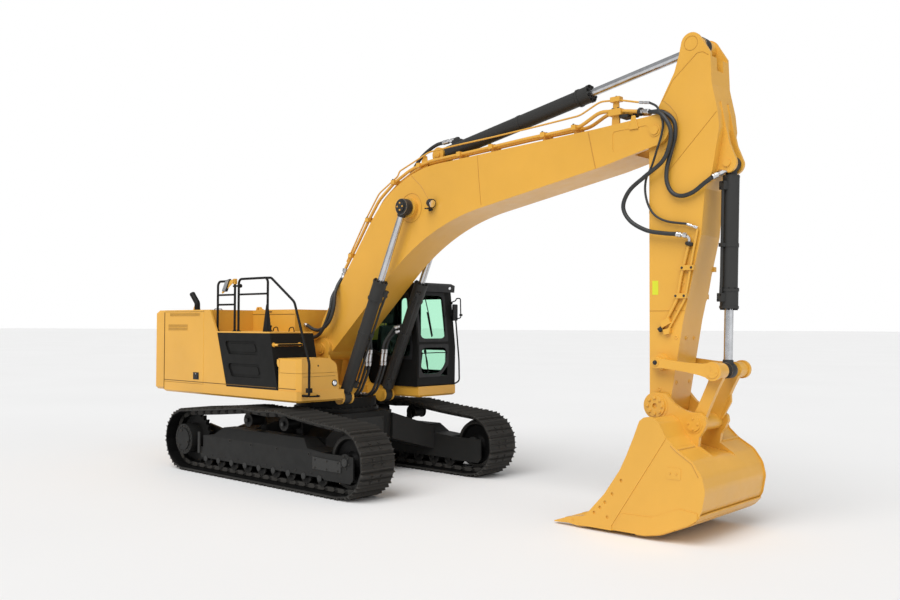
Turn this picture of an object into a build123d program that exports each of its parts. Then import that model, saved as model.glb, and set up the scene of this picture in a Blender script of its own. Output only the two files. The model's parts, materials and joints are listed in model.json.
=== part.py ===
"""Crawler excavator: tracks, slewing house with cab, boom, stick, linkage and bucket.

Sketch coordinates are measured from the slew axis at ground level: x forward, y left, z up.
SLEW_X then sets the slew axis back, so that the origin is under the middle of the machine.
"""

import math
import os

from build123d import *

# Pins of the working gear, (x, z) in the machine's middle plane
BOOM_FOOT = (50, 2050)
BOOM_CYLINDER_FOOT = (710, 1300)
BOOM_CYLINDER_HEAD = (2030, 4210)
BOOM_TIP = (6150, 4810)
STICK_CYLINDER_FOOT = (2400, 5000)
STICK_NOSE = (6600, 5790)
BUCKET_CYLINDER_FOOT = (6985, 4340)
GUIDE_PIN = (6210, 2010)
LINK_PIN = (6930, 1930)
BUCKET_PIN = (6160, 1490)
BUCKET_LINK_PIN = (6650, 1310)

# Clearances
FIT = 0.3
CLEAR = 5

# Undercarriage
TRACK_GAUGE = 2740
WHEEL_BASE = 4000
SHOE_WIDTH = 630
CHAIN_RADIUS = 431
CHAIN_WIDTH = 230
CHAIN_SLOT = 90
RAIL_DEPTH = 45
PLATE_INNER = 30
PLATE_OUTER = 55
GROUSER = 31
LINKS = 49
SPROCKET_TEETH = 25
TREAD_RADIUS = 100
ROLLERS = 9
ROLLER_SPAN = WHEEL_BASE - 1100
CARRIER_RADIUS = 92
CARRIER_STATIONS = ((540, 1090), (-370, 1085))
SAG_STATIONS = ((1300, 1005), (85, 1062), (-1200, 1010))
FRAME_HALF_WIDTH = 190
FRAME_HIGH = 770
FRAME_SHOULDER = 610
FRAME_SLOPE = 75
MOUNT_THICK = 60
CARBODY_TOP = 1100
SLEW_RING_RADIUS = 660

# House
HOUSE_HALF_WIDTH = 1495
DECK_LOW = 1270
DECK_HIGH = 1440
DECK_REAR = -2880
DECK_FRONT = 860
CAB_FRONT = 1330
TAIL_RADIUS = 3545
TAIL_TOP = 2690
HOOD_TOP = 2690
WALKWAY = 2310
DOOR_THICK = 40
WALL = 35

# Cab
CAB_LEFT = HOUSE_HALF_WIDTH - 10
CAB_REAR = -100
CAB_TOP = 3130
CAB_WALL = 55
DOOR_HINGE_X = 420

# Working gear
BOOM_HALF_WIDTH = 300
STICK_HALF_WIDTH = 240
STEEL = 28
TOWER_GAP = 335
TOWER_THICK = 40
BOOM_PIN = 55
CYLINDER_Y = 450
EYE_WIDTH = 130
BARREL_RADIUS = 95
ROD_RADIUS = 52
EYE_RADIUS = 110
EYE_PIN = 45
FLANGE = 30
BOOM_BARREL = 1990
STICK_BARREL = 2700
BUCKET_BARREL = 1690
LINK_PLATE = 50
LINK_IN = 165
LINK_OUT = 235
BUCKET_HALF_WIDTH = 815
BUCKET_EAR = 250

LUG_RADIUS = 115
LINK_Y = 380
CAB_RIGHT = CYLINDER_Y + EYE_WIDTH / 2 + 60
FRONT_END = BUCKET_CYLINDER_FOOT[0] + LUG_RADIUS
SLEW_X = -(FRONT_END - TAIL_RADIUS) / 2
WHEEL_Z = CHAIN_RADIUS + PLATE_OUTER + GROUSER
TRACK_Y = TRACK_GAUGE / 2
SIDES = ((-1, "right"), (1, "left"))

os.makedirs("parts", exist_ok=True)


def side_plane(y=0.0):
    """Upright plane along the machine: sketch x is forward, sketch y is up, normal to the right."""
    return Plane(origin=(SLEW_X, y, 0), x_dir=(1, 0, 0), z_dir=(0, -1, 0))


def deck_plane(z=0.0):
    """Level plane: sketch x is forward, sketch y is left."""
    return Plane(origin=(SLEW_X, 0, z))


def cross_plane(x=0.0):
    """Upright plane across the machine: sketch x is left, sketch y is up, normal forward."""
    return Plane(origin=(SLEW_X + x, 0, 0), x_dir=(0, 1, 0), z_dir=(1, 0, 0))


def aimed_plane(start, end, y=0.0, along=0.0):
    """Plane square to the line between two pins, a distance along it; sketch x is left."""
    direction = Vector(end[0] - start[0], 0, end[1] - start[1]).normalized()
    origin = Vector(SLEW_X + start[0], y, start[1]) + direction * along
    return Plane(origin=origin, x_dir=(0, 1, 0), z_dir=direction)


def outline(plane, points, radius=0):
    """Closed sketch through points, its corners rounded by one radius or one for each."""
    with BuildSketch(plane) as face:
        with BuildLine():
            FilletPolyline(*points, radius=radius, close=True)
        make_face()
    return face.sketch


def plate(points, low, high, radius=0, mode=Mode.ADD):
    """Solid with a side view through (x, z) points, from y = low to y = high."""
    extrude(outline(side_plane(high), points, radius), amount=high - low, mode=mode)


def slab(points, low, high, radius=0, mode=Mode.ADD):
    """Solid with a plan through (x, y) points, from z = low to z = high."""
    extrude(outline(deck_plane(low), points, radius), amount=high - low, mode=mode)


def block(x, y, z, mode=Mode.ADD):
    """Square-cornered solid between pairs of x, y and z."""
    slab([(x[0], y[0]), (x[1], y[0]), (x[1], y[1]), (x[0], y[1])], z[0], z[1], mode=mode)


def cross(points, rear, front, radius=0, inset=0, mode=Mode.ADD):
    """Solid with a front view through (y, z) points, from x = rear to x = front."""
    with BuildSketch(cross_plane(rear)) as face:
        with BuildLine():
            FilletPolyline(*points, radius=radius, close=True)
        make_face()
        if inset:
            offset(amount=-inset)
    extrude(face.sketch, amount=front - rear, mode=mode)


def disc(pin, radius, low, high, mode=Mode.ADD):
    """Round bar across the machine at a pin's (x, z), from y = low to y = high."""
    with BuildSketch(side_plane(high)) as face:
        with Locations(pin):
            Circle(radius)
    extrude(face.sketch, amount=high - low, mode=mode)


def twin_discs(pin, radius, low, high, mode=Mode.ADD):
    """The same disc on both sides of the middle plane."""
    disc(pin, radius, low, high, mode)
    disc(pin, radius, -high, -low, mode)


def twin_plates(points, low, high, radius=0, mode=Mode.ADD):
    """The same plate on both sides of the middle plane."""
    plate(points, low, high, radius, mode)
    plate(points, -high, -low, radius, mode)


def bar(plane, radius, length, mode=Mode.ADD):
    """Round bar that stands on a plane."""
    with BuildSketch(plane) as face:
        Circle(radius)
    extrude(face.sketch, amount=length, mode=mode)


def spindle(start, end, widths):
    """Closed outline along the line between two pins, through (share of its length, half width) pairs."""
    along = Vector(end[0] - start[0], end[1] - start[1])
    across = Vector(-along.Y, along.X).normalized()
    points = []
    for turn, order in ((1, widths), (-1, widths[::-1])):
        for share, half in order:
            point = Vector(*start) + along * share + across * half * turn
            points.append((point.X, point.Y))
    return points


def tube(points, radius, bend):
    """Bent round tube through points measured from the slew axis."""
    with BuildLine() as path:
        FilletPolyline(*[(SLEW_X + x, y, z) for x, y, z in points], radius=bend)
    wire = path.wire()
    with BuildSketch(Plane(origin=wire @ 0, z_dir=wire % 0)) as face:
        Circle(radius)
    sweep(face.sketch, path=wire)


def save(piece, name):
    """Label a finished piece and write it."""
    piece.part.label = name
    export_step(piece.part, f"parts/{name}.step")


# Track chain: its pitch line, then shoes and links along it


def tangent_point(centre_x, station, turn):
    """Point where a line from a top station touches the wheel's pitch circle."""
    dx = station[0] - centre_x
    dz = station[1] - WHEEL_Z
    half = math.acos(CHAIN_RADIUS / math.hypot(dx, dz))
    return math.atan2(dz, dx) + turn * half


def pitch_line():
    """Closely spaced (x, z) points round the chain's pitch line, from the lower rear, anticlockwise."""
    half_base = WHEEL_BASE / 2
    stations = sorted(CARRIER_STATIONS + SAG_STATIONS, reverse=True)
    front = tangent_point(half_base, stations[0], -1)
    rear = tangent_point(-half_base, stations[-1], 1)
    points = [(-half_base, WHEEL_Z - CHAIN_RADIUS)]
    steps = 60
    for centre, start, end in ((half_base, -math.pi / 2, front), (-half_base, rear, 1.5 * math.pi)):
        for step in range(steps + 1):
            angle = start + (end - start) * step / steps
            along = centre + CHAIN_RADIUS * math.cos(angle)
            points.append((along, WHEEL_Z + CHAIN_RADIUS * math.sin(angle)))
        if centre > 0:
            points.extend(stations)
    return points


def chain_pins():
    """Pins of the chain, evenly spaced along its pitch line."""
    line = pitch_line()
    lengths = [math.dist(a, b) for a, b in zip(line, line[1:])]
    pitch = sum(lengths) / LINKS
    pins = []
    travelled = 0.0
    for start, end, length in zip(line, line[1:], lengths):
        while len(pins) < LINKS and pitch * len(pins) < travelled + length:
            share = (pitch * len(pins) - travelled) / length
            pins.append((start[0] + (end[0] - start[0]) * share, start[1] + (end[1] - start[1]) * share))
        travelled += length
    return pins


PINS = chain_pins()
PITCH = math.dist(PINS[0], PINS[1])


def chain_height(x):
    """Height of the pitch line of the chain's top run."""
    for start, end in zip(PINS, PINS[1:] + PINS[:1]):
        if end[0] <= x < start[0]:
            return start[1] + (end[1] - start[1]) * (start[0] - x) / (start[0] - end[0])
    return WHEEL_Z


def carrier_shaft(x):
    """Height of a carrier roller's shaft under the chain."""
    low = min(chain_height(x + step) for step in (-40, -20, 0, 20, 40))
    return low - RAIL_DEPTH - CARRIER_RADIUS - FIT

# One shoe, as (share of its pitch, height above the pitch line): three grousers and the gap
SHOE = (
    (0.03, PLATE_OUTER - 4),
    (0.09, PLATE_OUTER + GROUSER),
    (0.17, PLATE_OUTER),
    (0.47, PLATE_OUTER),
    (0.51, PLATE_OUTER + GROUSER),
    (0.55, PLATE_OUTER),
    (0.85, PLATE_OUTER),
    (0.92, PLATE_OUTER + GROUSER),
    (0.97, PLATE_OUTER - 4),
    (1.0, PLATE_INNER + 6),
)


def chain_loop(profile):
    """Closed loop of points: a profile of (share, height) repeated on every link."""
    points = []
    for start, end in zip(PINS, PINS[1:] + PINS[:1]):
        dx = end[0] - start[0]
        dz = end[1] - start[1]
        length = math.hypot(dx, dz)
        for share, height in profile:
            x = start[0] + dx * share + dz / length * height
            z = start[1] + dz * share - dx / length * height
            points.append((x, z))
    return points


def ring(profile, inner, y, width):
    """Closed band between two loops of the chain, from y, width across."""
    with BuildSketch(side_plane(y + width)) as band:
        with BuildLine():
            Polyline(*chain_loop(profile), close=True)
        make_face()
        with BuildLine():
            Polyline(*chain_loop(inner), close=True)
        make_face(mode=Mode.SUBTRACT)
    extrude(band.sketch, amount=width)


STRAND = (CHAIN_WIDTH - CHAIN_SLOT) / 2
with BuildPart() as chain:
    ring(SHOE, ((0.0, PLATE_INNER),), -SHOE_WIDTH / 2, SHOE_WIDTH)
    for strand_y in (-CHAIN_WIDTH / 2, CHAIN_SLOT / 2):
        ring(((0.0, PLATE_INNER + 1),), ((0.0, -RAIL_DEPTH),), strand_y, STRAND)

for side, name in SIDES:
    with BuildPart() as track:
        add(chain.part.moved(Location((0, side * TRACK_Y, 0))))
    save(track, f"track_{name}")

RAIL_LOW = WHEEL_Z - CHAIN_RADIUS + RAIL_DEPTH
ROLLER_Z = RAIL_LOW + TREAD_RADIUS + FIT
SKIRT_LOW = ROLLER_Z + 15
FRAME_LOW = ROLLER_Z + TREAD_RADIUS + 24
SPROCKET_X = -WHEEL_BASE / 2
IDLER_X = WHEEL_BASE / 2
IDLER_RADIUS = math.sqrt(CHAIN_RADIUS**2 - PITCH**2 / 4) - RAIL_DEPTH - FIT
DRIVE_HUB = 250
FRAME_REAR = SPROCKET_X + 470
FRAME_FRONT = IDLER_X - 480
SKIRT_END = ROLLER_SPAN / 2 + 140
FORK_LOW = WHEEL_Z - 292
FORK_HIGH = WHEEL_Z + 88


def mirrored(profile):
    """Half section doubled about its first and last points, which lie on the middle."""
    return profile + [(-along, height) for along, height in reversed(profile[1:-1])]


def roller(y, x, z, tread, flange_width):
    """Flanged roller on a short shaft across a track."""
    rim = CHAIN_WIDTH / 2 + 3
    shaft = FRAME_HALF_WIDTH - STEEL
    profile = [
        (0, 0),
        (shaft, 0),
        (shaft, 34),
        (rim + flange_width, 34),
        (rim + flange_width, tread + 16),
        (rim, tread + 16),
        (rim, tread),
        (0, tread),
    ]
    centre = Plane(origin=(SLEW_X + x, y, z), x_dir=(0, 1, 0), z_dir=(1, 0, 0))
    with BuildSketch(centre) as half_section:
        with BuildLine():
            Polyline(*mirrored(profile), close=True)
        make_face()
    revolve(half_section.sketch, axis=Axis((SLEW_X + x, y, z), (0, 1, 0)))


with BuildPart() as track_rollers:
    for side, name in SIDES:
        for index in range(ROLLERS):
            station = -ROLLER_SPAN / 2 + ROLLER_SPAN * index / (ROLLERS - 1)
            roller(side * TRACK_Y, station, ROLLER_Z, TREAD_RADIUS, 22)
save(track_rollers, "track_rollers")

with BuildPart() as carrier_rollers:
    for side, name in SIDES:
        for station, height in CARRIER_STATIONS:
            roller(side * TRACK_Y, station, carrier_shaft(station), CARRIER_RADIUS, 16)
save(carrier_rollers, "carrier_rollers")

for side, name in SIDES:
    middle = side * TRACK_Y
    low = middle - FRAME_HALF_WIDTH
    high = middle + FRAME_HALF_WIDTH
    with BuildPart() as frame:
        upper = FRAME_HALF_WIDTH - FRAME_SLOPE
        section = [
            (low, FRAME_LOW),
            (high, FRAME_LOW),
            (high, FRAME_SHOULDER),
            (middle + upper, FRAME_HIGH),
            (middle - upper, FRAME_HIGH),
            (low, FRAME_SHOULDER),
        ]
        cross(section, FRAME_REAR, FRAME_FRONT)
        side_view = [
            (FRAME_REAR, FRAME_LOW),
            (FRAME_FRONT, FRAME_LOW),
            (FRAME_FRONT, FRAME_SHOULDER),
            (FRAME_FRONT - 370, FRAME_SHOULDER + 30),
            (FRAME_FRONT - 520, FRAME_HIGH),
            (FRAME_REAR + 480, FRAME_HIGH),
            (FRAME_REAR + 280, FRAME_SHOULDER + 30),
            (FRAME_REAR, FRAME_SHOULDER),
        ]
        plate(side_view, low, high, mode=Mode.INTERSECT)
        # Roller skirts, an idler fork in front and a drive mount behind
        skirt = [
            (-SKIRT_END, SKIRT_LOW),
            (SKIRT_END, SKIRT_LOW),
            (SKIRT_END + 50, FRAME_LOW + 60),
            (-SKIRT_END - 50, FRAME_LOW + 60),
        ]
        for skirt_low, skirt_high in ((low, low + STEEL), (high - STEEL, high)):
            plate(skirt, skirt_low, skirt_high)
            fork = [
                (FRAME_FRONT - 40, SKIRT_LOW + 40),
                (FRAME_FRONT + 30, FORK_LOW),
                (IDLER_X + 110, FORK_LOW),
                (IDLER_X + 170, FORK_LOW + 65),
                (IDLER_X + 170, FORK_HIGH),
                (FRAME_FRONT - 40, FORK_HIGH),
            ]
            plate(fork, skirt_low, skirt_high)
            disc((IDLER_X, WHEEL_Z), 120, skirt_low, skirt_high)
        # Posts of the carrier rollers stand on the inner side
        inner_face = middle - side * FRAME_HALF_WIDTH
        post_low, post_high = sorted((inner_face, inner_face + side * STEEL))
        for station, height in CARRIER_STATIONS:
            shaft_z = carrier_shaft(station)
            post = [
                (station - 90, FRAME_SHOULDER - 40),
                (station + 90, FRAME_SHOULDER - 40),
                (station + 45, shaft_z),
                (station - 45, shaft_z),
            ]
            plate(post, post_low, post_high)
            disc((station, shaft_z), 45, post_low, post_high)
        mount_low, mount_high = sorted((inner_face, inner_face + side * MOUNT_THICK))
        mount = [
            (FRAME_REAR + 60, FRAME_LOW + 20),
            (FRAME_REAR + 60, 690),
            (SPROCKET_X + 100, 760),
            (SPROCKET_X - 190, 650),
            (SPROCKET_X - 190, 380),
        ]
        plate(mount, mount_low, mount_high, radius=(0, 0, 60, 120, 120))
    save(frame, f"track_frame_{name}")

    with BuildPart() as idler:
        rim_half = CHAIN_WIDTH / 2
        groove = CHAIN_SLOT / 2 - 10
        hub = FRAME_HALF_WIDTH - STEEL
        section = [
            (0, 40),
            (hub, 40),
            (hub, 95),
            (rim_half - 20, 110),
            (50, 150),
            (50, IDLER_RADIUS - 70),
            (rim_half, IDLER_RADIUS - 45),
            (rim_half, IDLER_RADIUS),
            (groove, IDLER_RADIUS),
            (groove, IDLER_RADIUS + 28),
            (0, IDLER_RADIUS + 28),
        ]
        centre = Plane(origin=(SLEW_X + IDLER_X, middle, WHEEL_Z), x_dir=(0, 1, 0), z_dir=(1, 0, 0))
        with BuildSketch(centre) as idler_section:
            with BuildLine():
                Polyline(*mirrored(section), close=True)
            make_face()
        revolve(idler_section.sketch, axis=Axis((SLEW_X + IDLER_X, middle, WHEEL_Z), (0, 1, 0)))
    save(idler, f"idler_{name}")

    with BuildPart() as sprocket:
        tip = CHAIN_RADIUS + 12
        root = CHAIN_RADIUS - 34
        tooth = 2 * math.pi / SPROCKET_TEETH
        rear_pin = min(PINS)
        phase = math.atan2(rear_pin[1] - WHEEL_Z, rear_pin[0] - SPROCKET_X)
        teeth = []
        for index in range(SPROCKET_TEETH):
            # A valley under each bushing, a tooth between bushings
            for share, radius in ((-0.22, root), (0.22, root), (0.42, tip), (0.58, tip)):
                angle = phase + (index + share) * tooth
                teeth.append((SPROCKET_X + radius * math.cos(angle), WHEEL_Z + radius * math.sin(angle)))
        face_half = CHAIN_SLOT / 2 - 12
        plate(teeth, middle - face_half, middle + face_half)
        inner = middle - side * (FRAME_HALF_WIDTH - MOUNT_THICK)
        outer = middle + side * 262
        low, high = sorted((inner, outer))
        disc((SPROCKET_X, WHEEL_Z), DRIVE_HUB, low, high)
        cap_low, cap_high = sorted((outer, outer + side * 18))
        disc((SPROCKET_X, WHEEL_Z), DRIVE_HUB - 70, cap_low, cap_high)
    save(sprocket, f"final_drive_{name}")

with BuildPart() as carbody:
    slab([(-820, -640), (820, -640), (820, 640), (-820, 640)], 560, CARBODY_TOP - 60, radius=260)
    inner_face = TRACK_Y - FRAME_HALF_WIDTH
    for across in (-1, 1):
        for along in (-1, 1):
            with BuildSketch(
                Plane(origin=(SLEW_X, across * 520, 0), x_dir=(1, 0, 0), z_dir=(0, across, 0))
            ) as root:
                with Locations((along * 540, -across * 790)):
                    Rectangle(560, 420)
            with BuildSketch(
                Plane(origin=(SLEW_X, across * inner_face, 0), x_dir=(1, 0, 0), z_dir=(0, across, 0))
            ) as end:
                with Locations((along * 900, -across * 560)):
                    Rectangle(480, 380)
            loft([root.sketch, end.sketch])
    bar(deck_plane(CARBODY_TOP - 60), SLEW_RING_RADIUS + 40, 60)
save(carbody, "carbody")

with BuildPart() as slew_bearing:
    bar(deck_plane(CARBODY_TOP), SLEW_RING_RADIUS, DECK_LOW - FIT - CARBODY_TOP)
    bar(deck_plane(CARBODY_TOP), SLEW_RING_RADIUS - 130, DECK_LOW - FIT - CARBODY_TOP, mode=Mode.SUBTRACT)
save(slew_bearing, "slew_bearing")

# House: deck, towers and counterweight

TOWER_OUT = TOWER_GAP + TOWER_THICK
EYE_IN = CYLINDER_Y - EYE_WIDTH / 2
EYE_OUT = CYLINDER_Y + EYE_WIDTH / 2
FOOT_EAR = EYE_OUT + 10
DOOR_OUT = HOUSE_HALF_WIDTH
DOOR_IN = DOOR_OUT - DOOR_THICK
HINGE_R = DOOR_THICK / 2
HINGE_PIN = 10
RIGHT_DOOR_FRONT = -1655
LEFT_DOOR_SPLIT = -1510
HOUSE_FRONT = -305
HOOD_FRONT = -1620
HOOD_RIGHT = -605
HOOD_LEFT = 1395
CENTRE_NOTCH = 400
TANK_FOOT = 355
TANK_FRONT = 150
PANEL_THICK = 34
COVER_THICK = 12
WALKWAY_TOP = WALKWAY + 22

with BuildPart() as platform:
    plan = [
        (DECK_REAR, -HOUSE_HALF_WIDTH),
        (DECK_FRONT - 30, -HOUSE_HALF_WIDTH),
        (DECK_FRONT, -HOUSE_HALF_WIDTH + 70),
        (DECK_FRONT, -FOOT_EAR - 60),
        (CENTRE_NOTCH, -FOOT_EAR - 60),
        (CENTRE_NOTCH, CAB_RIGHT + 25),
        (CAB_FRONT, CAB_RIGHT + 25),
        (CAB_FRONT, HOUSE_HALF_WIDTH),
        (DECK_REAR, HOUSE_HALF_WIDTH),
    ]
    slab(plan, DECK_LOW, DECK_HIGH)
    chamfer(platform.edges().group_by(Axis.Z)[0], length=30)
    for pocket_low, pocket_high in ((-1420, -440), (-300, 300), (440, 1420)):
        block((-2800, -380), (pocket_low, pocket_high), (DECK_LOW + STEEL, DECK_HIGH), mode=Mode.SUBTRACT)
    # Boom towers with the lugs of the boom cylinders in front of them
    tower = [
        (-300, DECK_LOW + 10),
        (CENTRE_NOTCH + 60, DECK_LOW + 10),
        (640, DECK_LOW + 10),
        (640, 1390),
        (420, 1500),
        (BOOM_FOOT[0] + 165, BOOM_FOOT[1] - 95),
        (BOOM_FOOT[0], BOOM_FOOT[1] + 190),
        (-145, 2180),
        (-300, 1500),
    ]
    for low, high in ((TOWER_GAP, TOWER_OUT), (-TOWER_OUT, -TOWER_GAP)):
        plate(tower, low, high, radius=(0, 0, 0, 60, 120, 0, 0, 60, 0))
        disc(BOOM_FOOT, 190, low, high)
        disc(BOOM_CYLINDER_FOOT, EYE_RADIUS, low, high)
    ear = [
        (CENTRE_NOTCH - 100, DECK_LOW + 10),
        (640, DECK_LOW + 10),
        (700, 1400),
        (CENTRE_NOTCH - 40, DECK_HIGH + 20),
        (CENTRE_NOTCH - 100, DECK_HIGH + 20),
    ]
    twin_plates(ear, FOOT_EAR, FOOT_EAR + 35)
    twin_discs(BOOM_CYLINDER_FOOT, EYE_RADIUS, FOOT_EAR, FOOT_EAR + 35)
    twin_discs(BOOM_CYLINDER_FOOT, EYE_PIN, TOWER_GAP, FOOT_EAR + 45)
    disc(BOOM_FOOT, BOOM_PIN, -TOWER_OUT - 30, TOWER_OUT + 30)
    twin_discs(BOOM_FOOT, BOOM_PIN + 35, TOWER_OUT, TOWER_OUT + 22)
    # Sockets of the upright door hinges
    for hinge_x, hinge_y in (
        (RIGHT_DOOR_FRONT - HINGE_R, -HOUSE_HALF_WIDTH + HINGE_R),
        (DECK_REAR + 10 + HINGE_R, HOUSE_HALF_WIDTH - HINGE_R),
        (LEFT_DOOR_SPLIT + HINGE_R, HOUSE_HALF_WIDTH - HINGE_R),
    ):
        with BuildSketch(deck_plane(DECK_HIGH)) as socket:
            with Locations((hinge_x, hinge_y)):
                Circle(HINGE_PIN + FIT)
        extrude(socket.sketch, amount=-40, mode=Mode.SUBTRACT)
save(platform, "platform")

with BuildPart() as counterweight:
    corner_x = -3250
    corner_y = math.sqrt(TAIL_RADIUS**2 - corner_x**2)
    with BuildSketch(deck_plane(DECK_LOW + 30)) as tail:
        with BuildLine():
            Polyline(
                (corner_x, -corner_y),
                (-3150, -HOUSE_HALF_WIDTH),
                (DECK_REAR, -HOUSE_HALF_WIDTH),
                (DECK_REAR, HOUSE_HALF_WIDTH),
                (-3150, HOUSE_HALF_WIDTH),
                (corner_x, corner_y),
            )
            ThreePointArc((corner_x, corner_y), (-TAIL_RADIUS, 0), (corner_x, -corner_y))
        make_face()
    extrude(tail.sketch, amount=TAIL_TOP - DECK_LOW - 30)
    outer = counterweight.edges().filter_by(lambda edge: edge.center().X < SLEW_X + DECK_REAR - 20)
    chamfer(outer.group_by(Axis.Z)[-1], length=55)
    outer = counterweight.edges().filter_by(lambda edge: edge.center().X < SLEW_X + DECK_REAR - 20)
    chamfer(outer.group_by(Axis.Z)[0], length=40)
    for across in (-1, 1):
        lug = [
            (-3230, TAIL_TOP - 30),
            (-3010, TAIL_TOP - 30),
            (-3070, TAIL_TOP + 100),
            (-3170, TAIL_TOP + 100),
        ]
        plate(lug, across * 700 - 25, across * 700 + 25, radius=(0, 0, 45, 45))
        disc((-3120, TAIL_TOP + 50), 28, across * 700 - 25, across * 700 + 25, mode=Mode.SUBTRACT)
save(counterweight, "counterweight")

# Bodywork: hood frame, tanks, doors, hood and toolbox

with BuildPart() as hood_frame:
    roof_low = HOOD_TOP - STEEL
    block((DECK_REAR, HOUSE_FRONT), (HOOD_RIGHT - WALL, HOOD_RIGHT), (DECK_HIGH, HOOD_TOP))
    block((HOUSE_FRONT - WALL, HOUSE_FRONT), (HOOD_RIGHT, HOUSE_HALF_WIDTH), (DECK_HIGH, HOOD_TOP))
    block((HOOD_FRONT + 15, HOUSE_FRONT), (HOOD_RIGHT, HOUSE_HALF_WIDTH), (roof_low, HOOD_TOP))
    block((DECK_REAR, HOOD_FRONT + 15), (HOOD_LEFT + 10, HOUSE_HALF_WIDTH), (roof_low, HOOD_TOP))
    block((DECK_REAR, HOOD_FRONT + 15), (HOOD_LEFT + 10, HOOD_LEFT + 10 + STEEL), (2560, HOOD_TOP))
    block((DECK_REAR, RIGHT_DOOR_FRONT), (-HOUSE_HALF_WIDTH, HOOD_RIGHT), (roof_low, HOOD_TOP))
    for post in ((LEFT_DOOR_SPLIT - 50, LEFT_DOOR_SPLIT + 50), (DECK_REAR, DECK_REAR + 60)):
        block(post, (HOOD_LEFT + 10, DOOR_IN - CLEAR), (DECK_HIGH, roof_low))
    block((HOOD_FRONT + 15, HOOD_FRONT + 45), (HOOD_RIGHT, 1380), (DECK_HIGH, roof_low))
    hood_hinge = (HOOD_FRONT - 20, HOOD_TOP - 15)
    disc(hood_hinge, HINGE_PIN + FIT, HOOD_RIGHT - 30, HOOD_RIGHT, mode=Mode.SUBTRACT)
    disc(hood_hinge, HINGE_PIN + FIT, HOOD_LEFT + 10, HOOD_LEFT + 10 + STEEL, mode=Mode.SUBTRACT)
save(hood_frame, "hood_frame")

with BuildPart() as engine_hood:
    lid_rear = DECK_REAR + 10
    lid_low = HOOD_RIGHT + CLEAR
    lid_high = HOOD_LEFT
    hinge_z = HOOD_TOP - 15
    lid = [(lid_rear, 2600), (HOOD_FRONT, 2600), (HOOD_FRONT, HOOD_TOP), (lid_rear, HOOD_TOP)]
    plate(lid, lid_low, lid_high)
    block(
        (lid_rear + 25, HOOD_FRONT - 45),
        (lid_low + 25, lid_high - 25),
        (2600, HOOD_TOP - 25),
        mode=Mode.SUBTRACT,
    )
    disc(hood_hinge, HINGE_PIN, HOOD_RIGHT - 28, HOOD_LEFT + 10 + STEEL)
save(engine_hood, "engine_hood")

with BuildPart() as engine:
    engine_plan = [(-2720, -480), (-1780, -480), (-1780, 1050), (-2720, 1050)]
    slab(engine_plan, DECK_HIGH, 2480, radius=60)
save(engine, "engine")

with BuildPart() as tanks:
    side_view = [
        (RIGHT_DOOR_FRONT + 10, DECK_HIGH),
        (TANK_FOOT, DECK_HIGH),
        (TANK_FRONT, WALKWAY),
        (-1470, WALKWAY),
        (-1470, HOOD_TOP),
        (RIGHT_DOOR_FRONT + 10, HOOD_TOP),
    ]
    plate(side_view, -HOUSE_HALF_WIDTH + PANEL_THICK, HOOD_RIGHT - WALL)
    tread = (-1470, TANK_FRONT + COVER_THICK)
    block(tread, (-HOUSE_HALF_WIDTH, HOOD_RIGHT - WALL), (WALKWAY, WALKWAY_TOP))
    strip = [
        (RIGHT_DOOR_FRONT + 10, DECK_HIGH),
        (-985, DECK_HIGH),
        (-1260, WALKWAY),
        (-1270, WALKWAY),
        (-1480, HOOD_TOP),
        (RIGHT_DOOR_FRONT + 10, HOOD_TOP),
    ]
    plate(strip, -HOUSE_HALF_WIDTH, -HOUSE_HALF_WIDTH + PANEL_THICK)
save(tanks, "tanks")

with BuildPart() as side_panel:
    skin = -HOUSE_HALF_WIDTH
    panel = [(-980, DECK_HIGH), (TANK_FOOT, DECK_HIGH), (TANK_FRONT, WALKWAY), (-1255, WALKWAY)]
    plate(panel, skin, skin + PANEL_THICK)
    # Cover of the tank's sloping front
    cover = [
        (TANK_FOOT, DECK_HIGH),
        (TANK_FOOT + COVER_THICK, DECK_HIGH),
        (TANK_FRONT + COVER_THICK, WALKWAY),
        (TANK_FRONT, WALKWAY),
    ]
    plate(cover, skin, HOOD_RIGHT - WALL)
    # Two slanted recesses, as (lower left x, lower z), each the same size, with a raised field inside
    for left, bottom in ((-925, 1965), (-835, 1605)):
        recess = [
            (left, bottom),
            (left + 820, bottom),
            (left + 720, bottom + 215),
            (left - 130, bottom + 215),
        ]
        plate(recess, skin, skin + 24, radius=45, mode=Mode.SUBTRACT)
        field = [
            (left + 30, bottom + 45),
            (left + 725, bottom + 45),
            (left + 670, bottom + 170),
            (left - 45, bottom + 170),
        ]
        plate(field, skin + 14, skin + 26, radius=30)
save(side_panel, "side_panel")


def hinged_door(x_hinge, x_far, outward, low, high, socket_depth):
    """Upright door with a rounded hinge edge, and its pivot pin below it."""
    facing = 1 if x_far > x_hinge else -1
    y_mid = outward * (HOUSE_HALF_WIDTH - HINGE_R)
    centre = x_hinge + facing * HINGE_R
    slab(
        [
            (centre, y_mid - HINGE_R),
            (x_far, y_mid - HINGE_R),
            (x_far, y_mid + HINGE_R),
            (centre, y_mid + HINGE_R),
        ],
        low,
        high,
    )
    for radius, bottom, top in ((HINGE_R, low, high), (HINGE_PIN, low - socket_depth, low)):
        with BuildSketch(deck_plane(bottom)) as post:
            with Locations((centre, y_mid)):
                Circle(radius)
        extrude(post.sketch, amount=top - bottom)


DOOR_LOW = DECK_HIGH + CLEAR
DOOR_HIGH = HOOD_TOP - STEEL - CLEAR

with BuildPart() as service_door_right:
    hinged_door(RIGHT_DOOR_FRONT, DECK_REAR + 10, -1, DOOR_LOW, DOOR_HIGH, 40)
save(service_door_right, "service_door_right")

with BuildPart() as service_door_rear:
    hinged_door(DECK_REAR + 10, LEFT_DOOR_SPLIT - CLEAR, 1, DOOR_LOW, DOOR_HIGH, 40)
save(service_door_rear, "service_door_rear")

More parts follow.
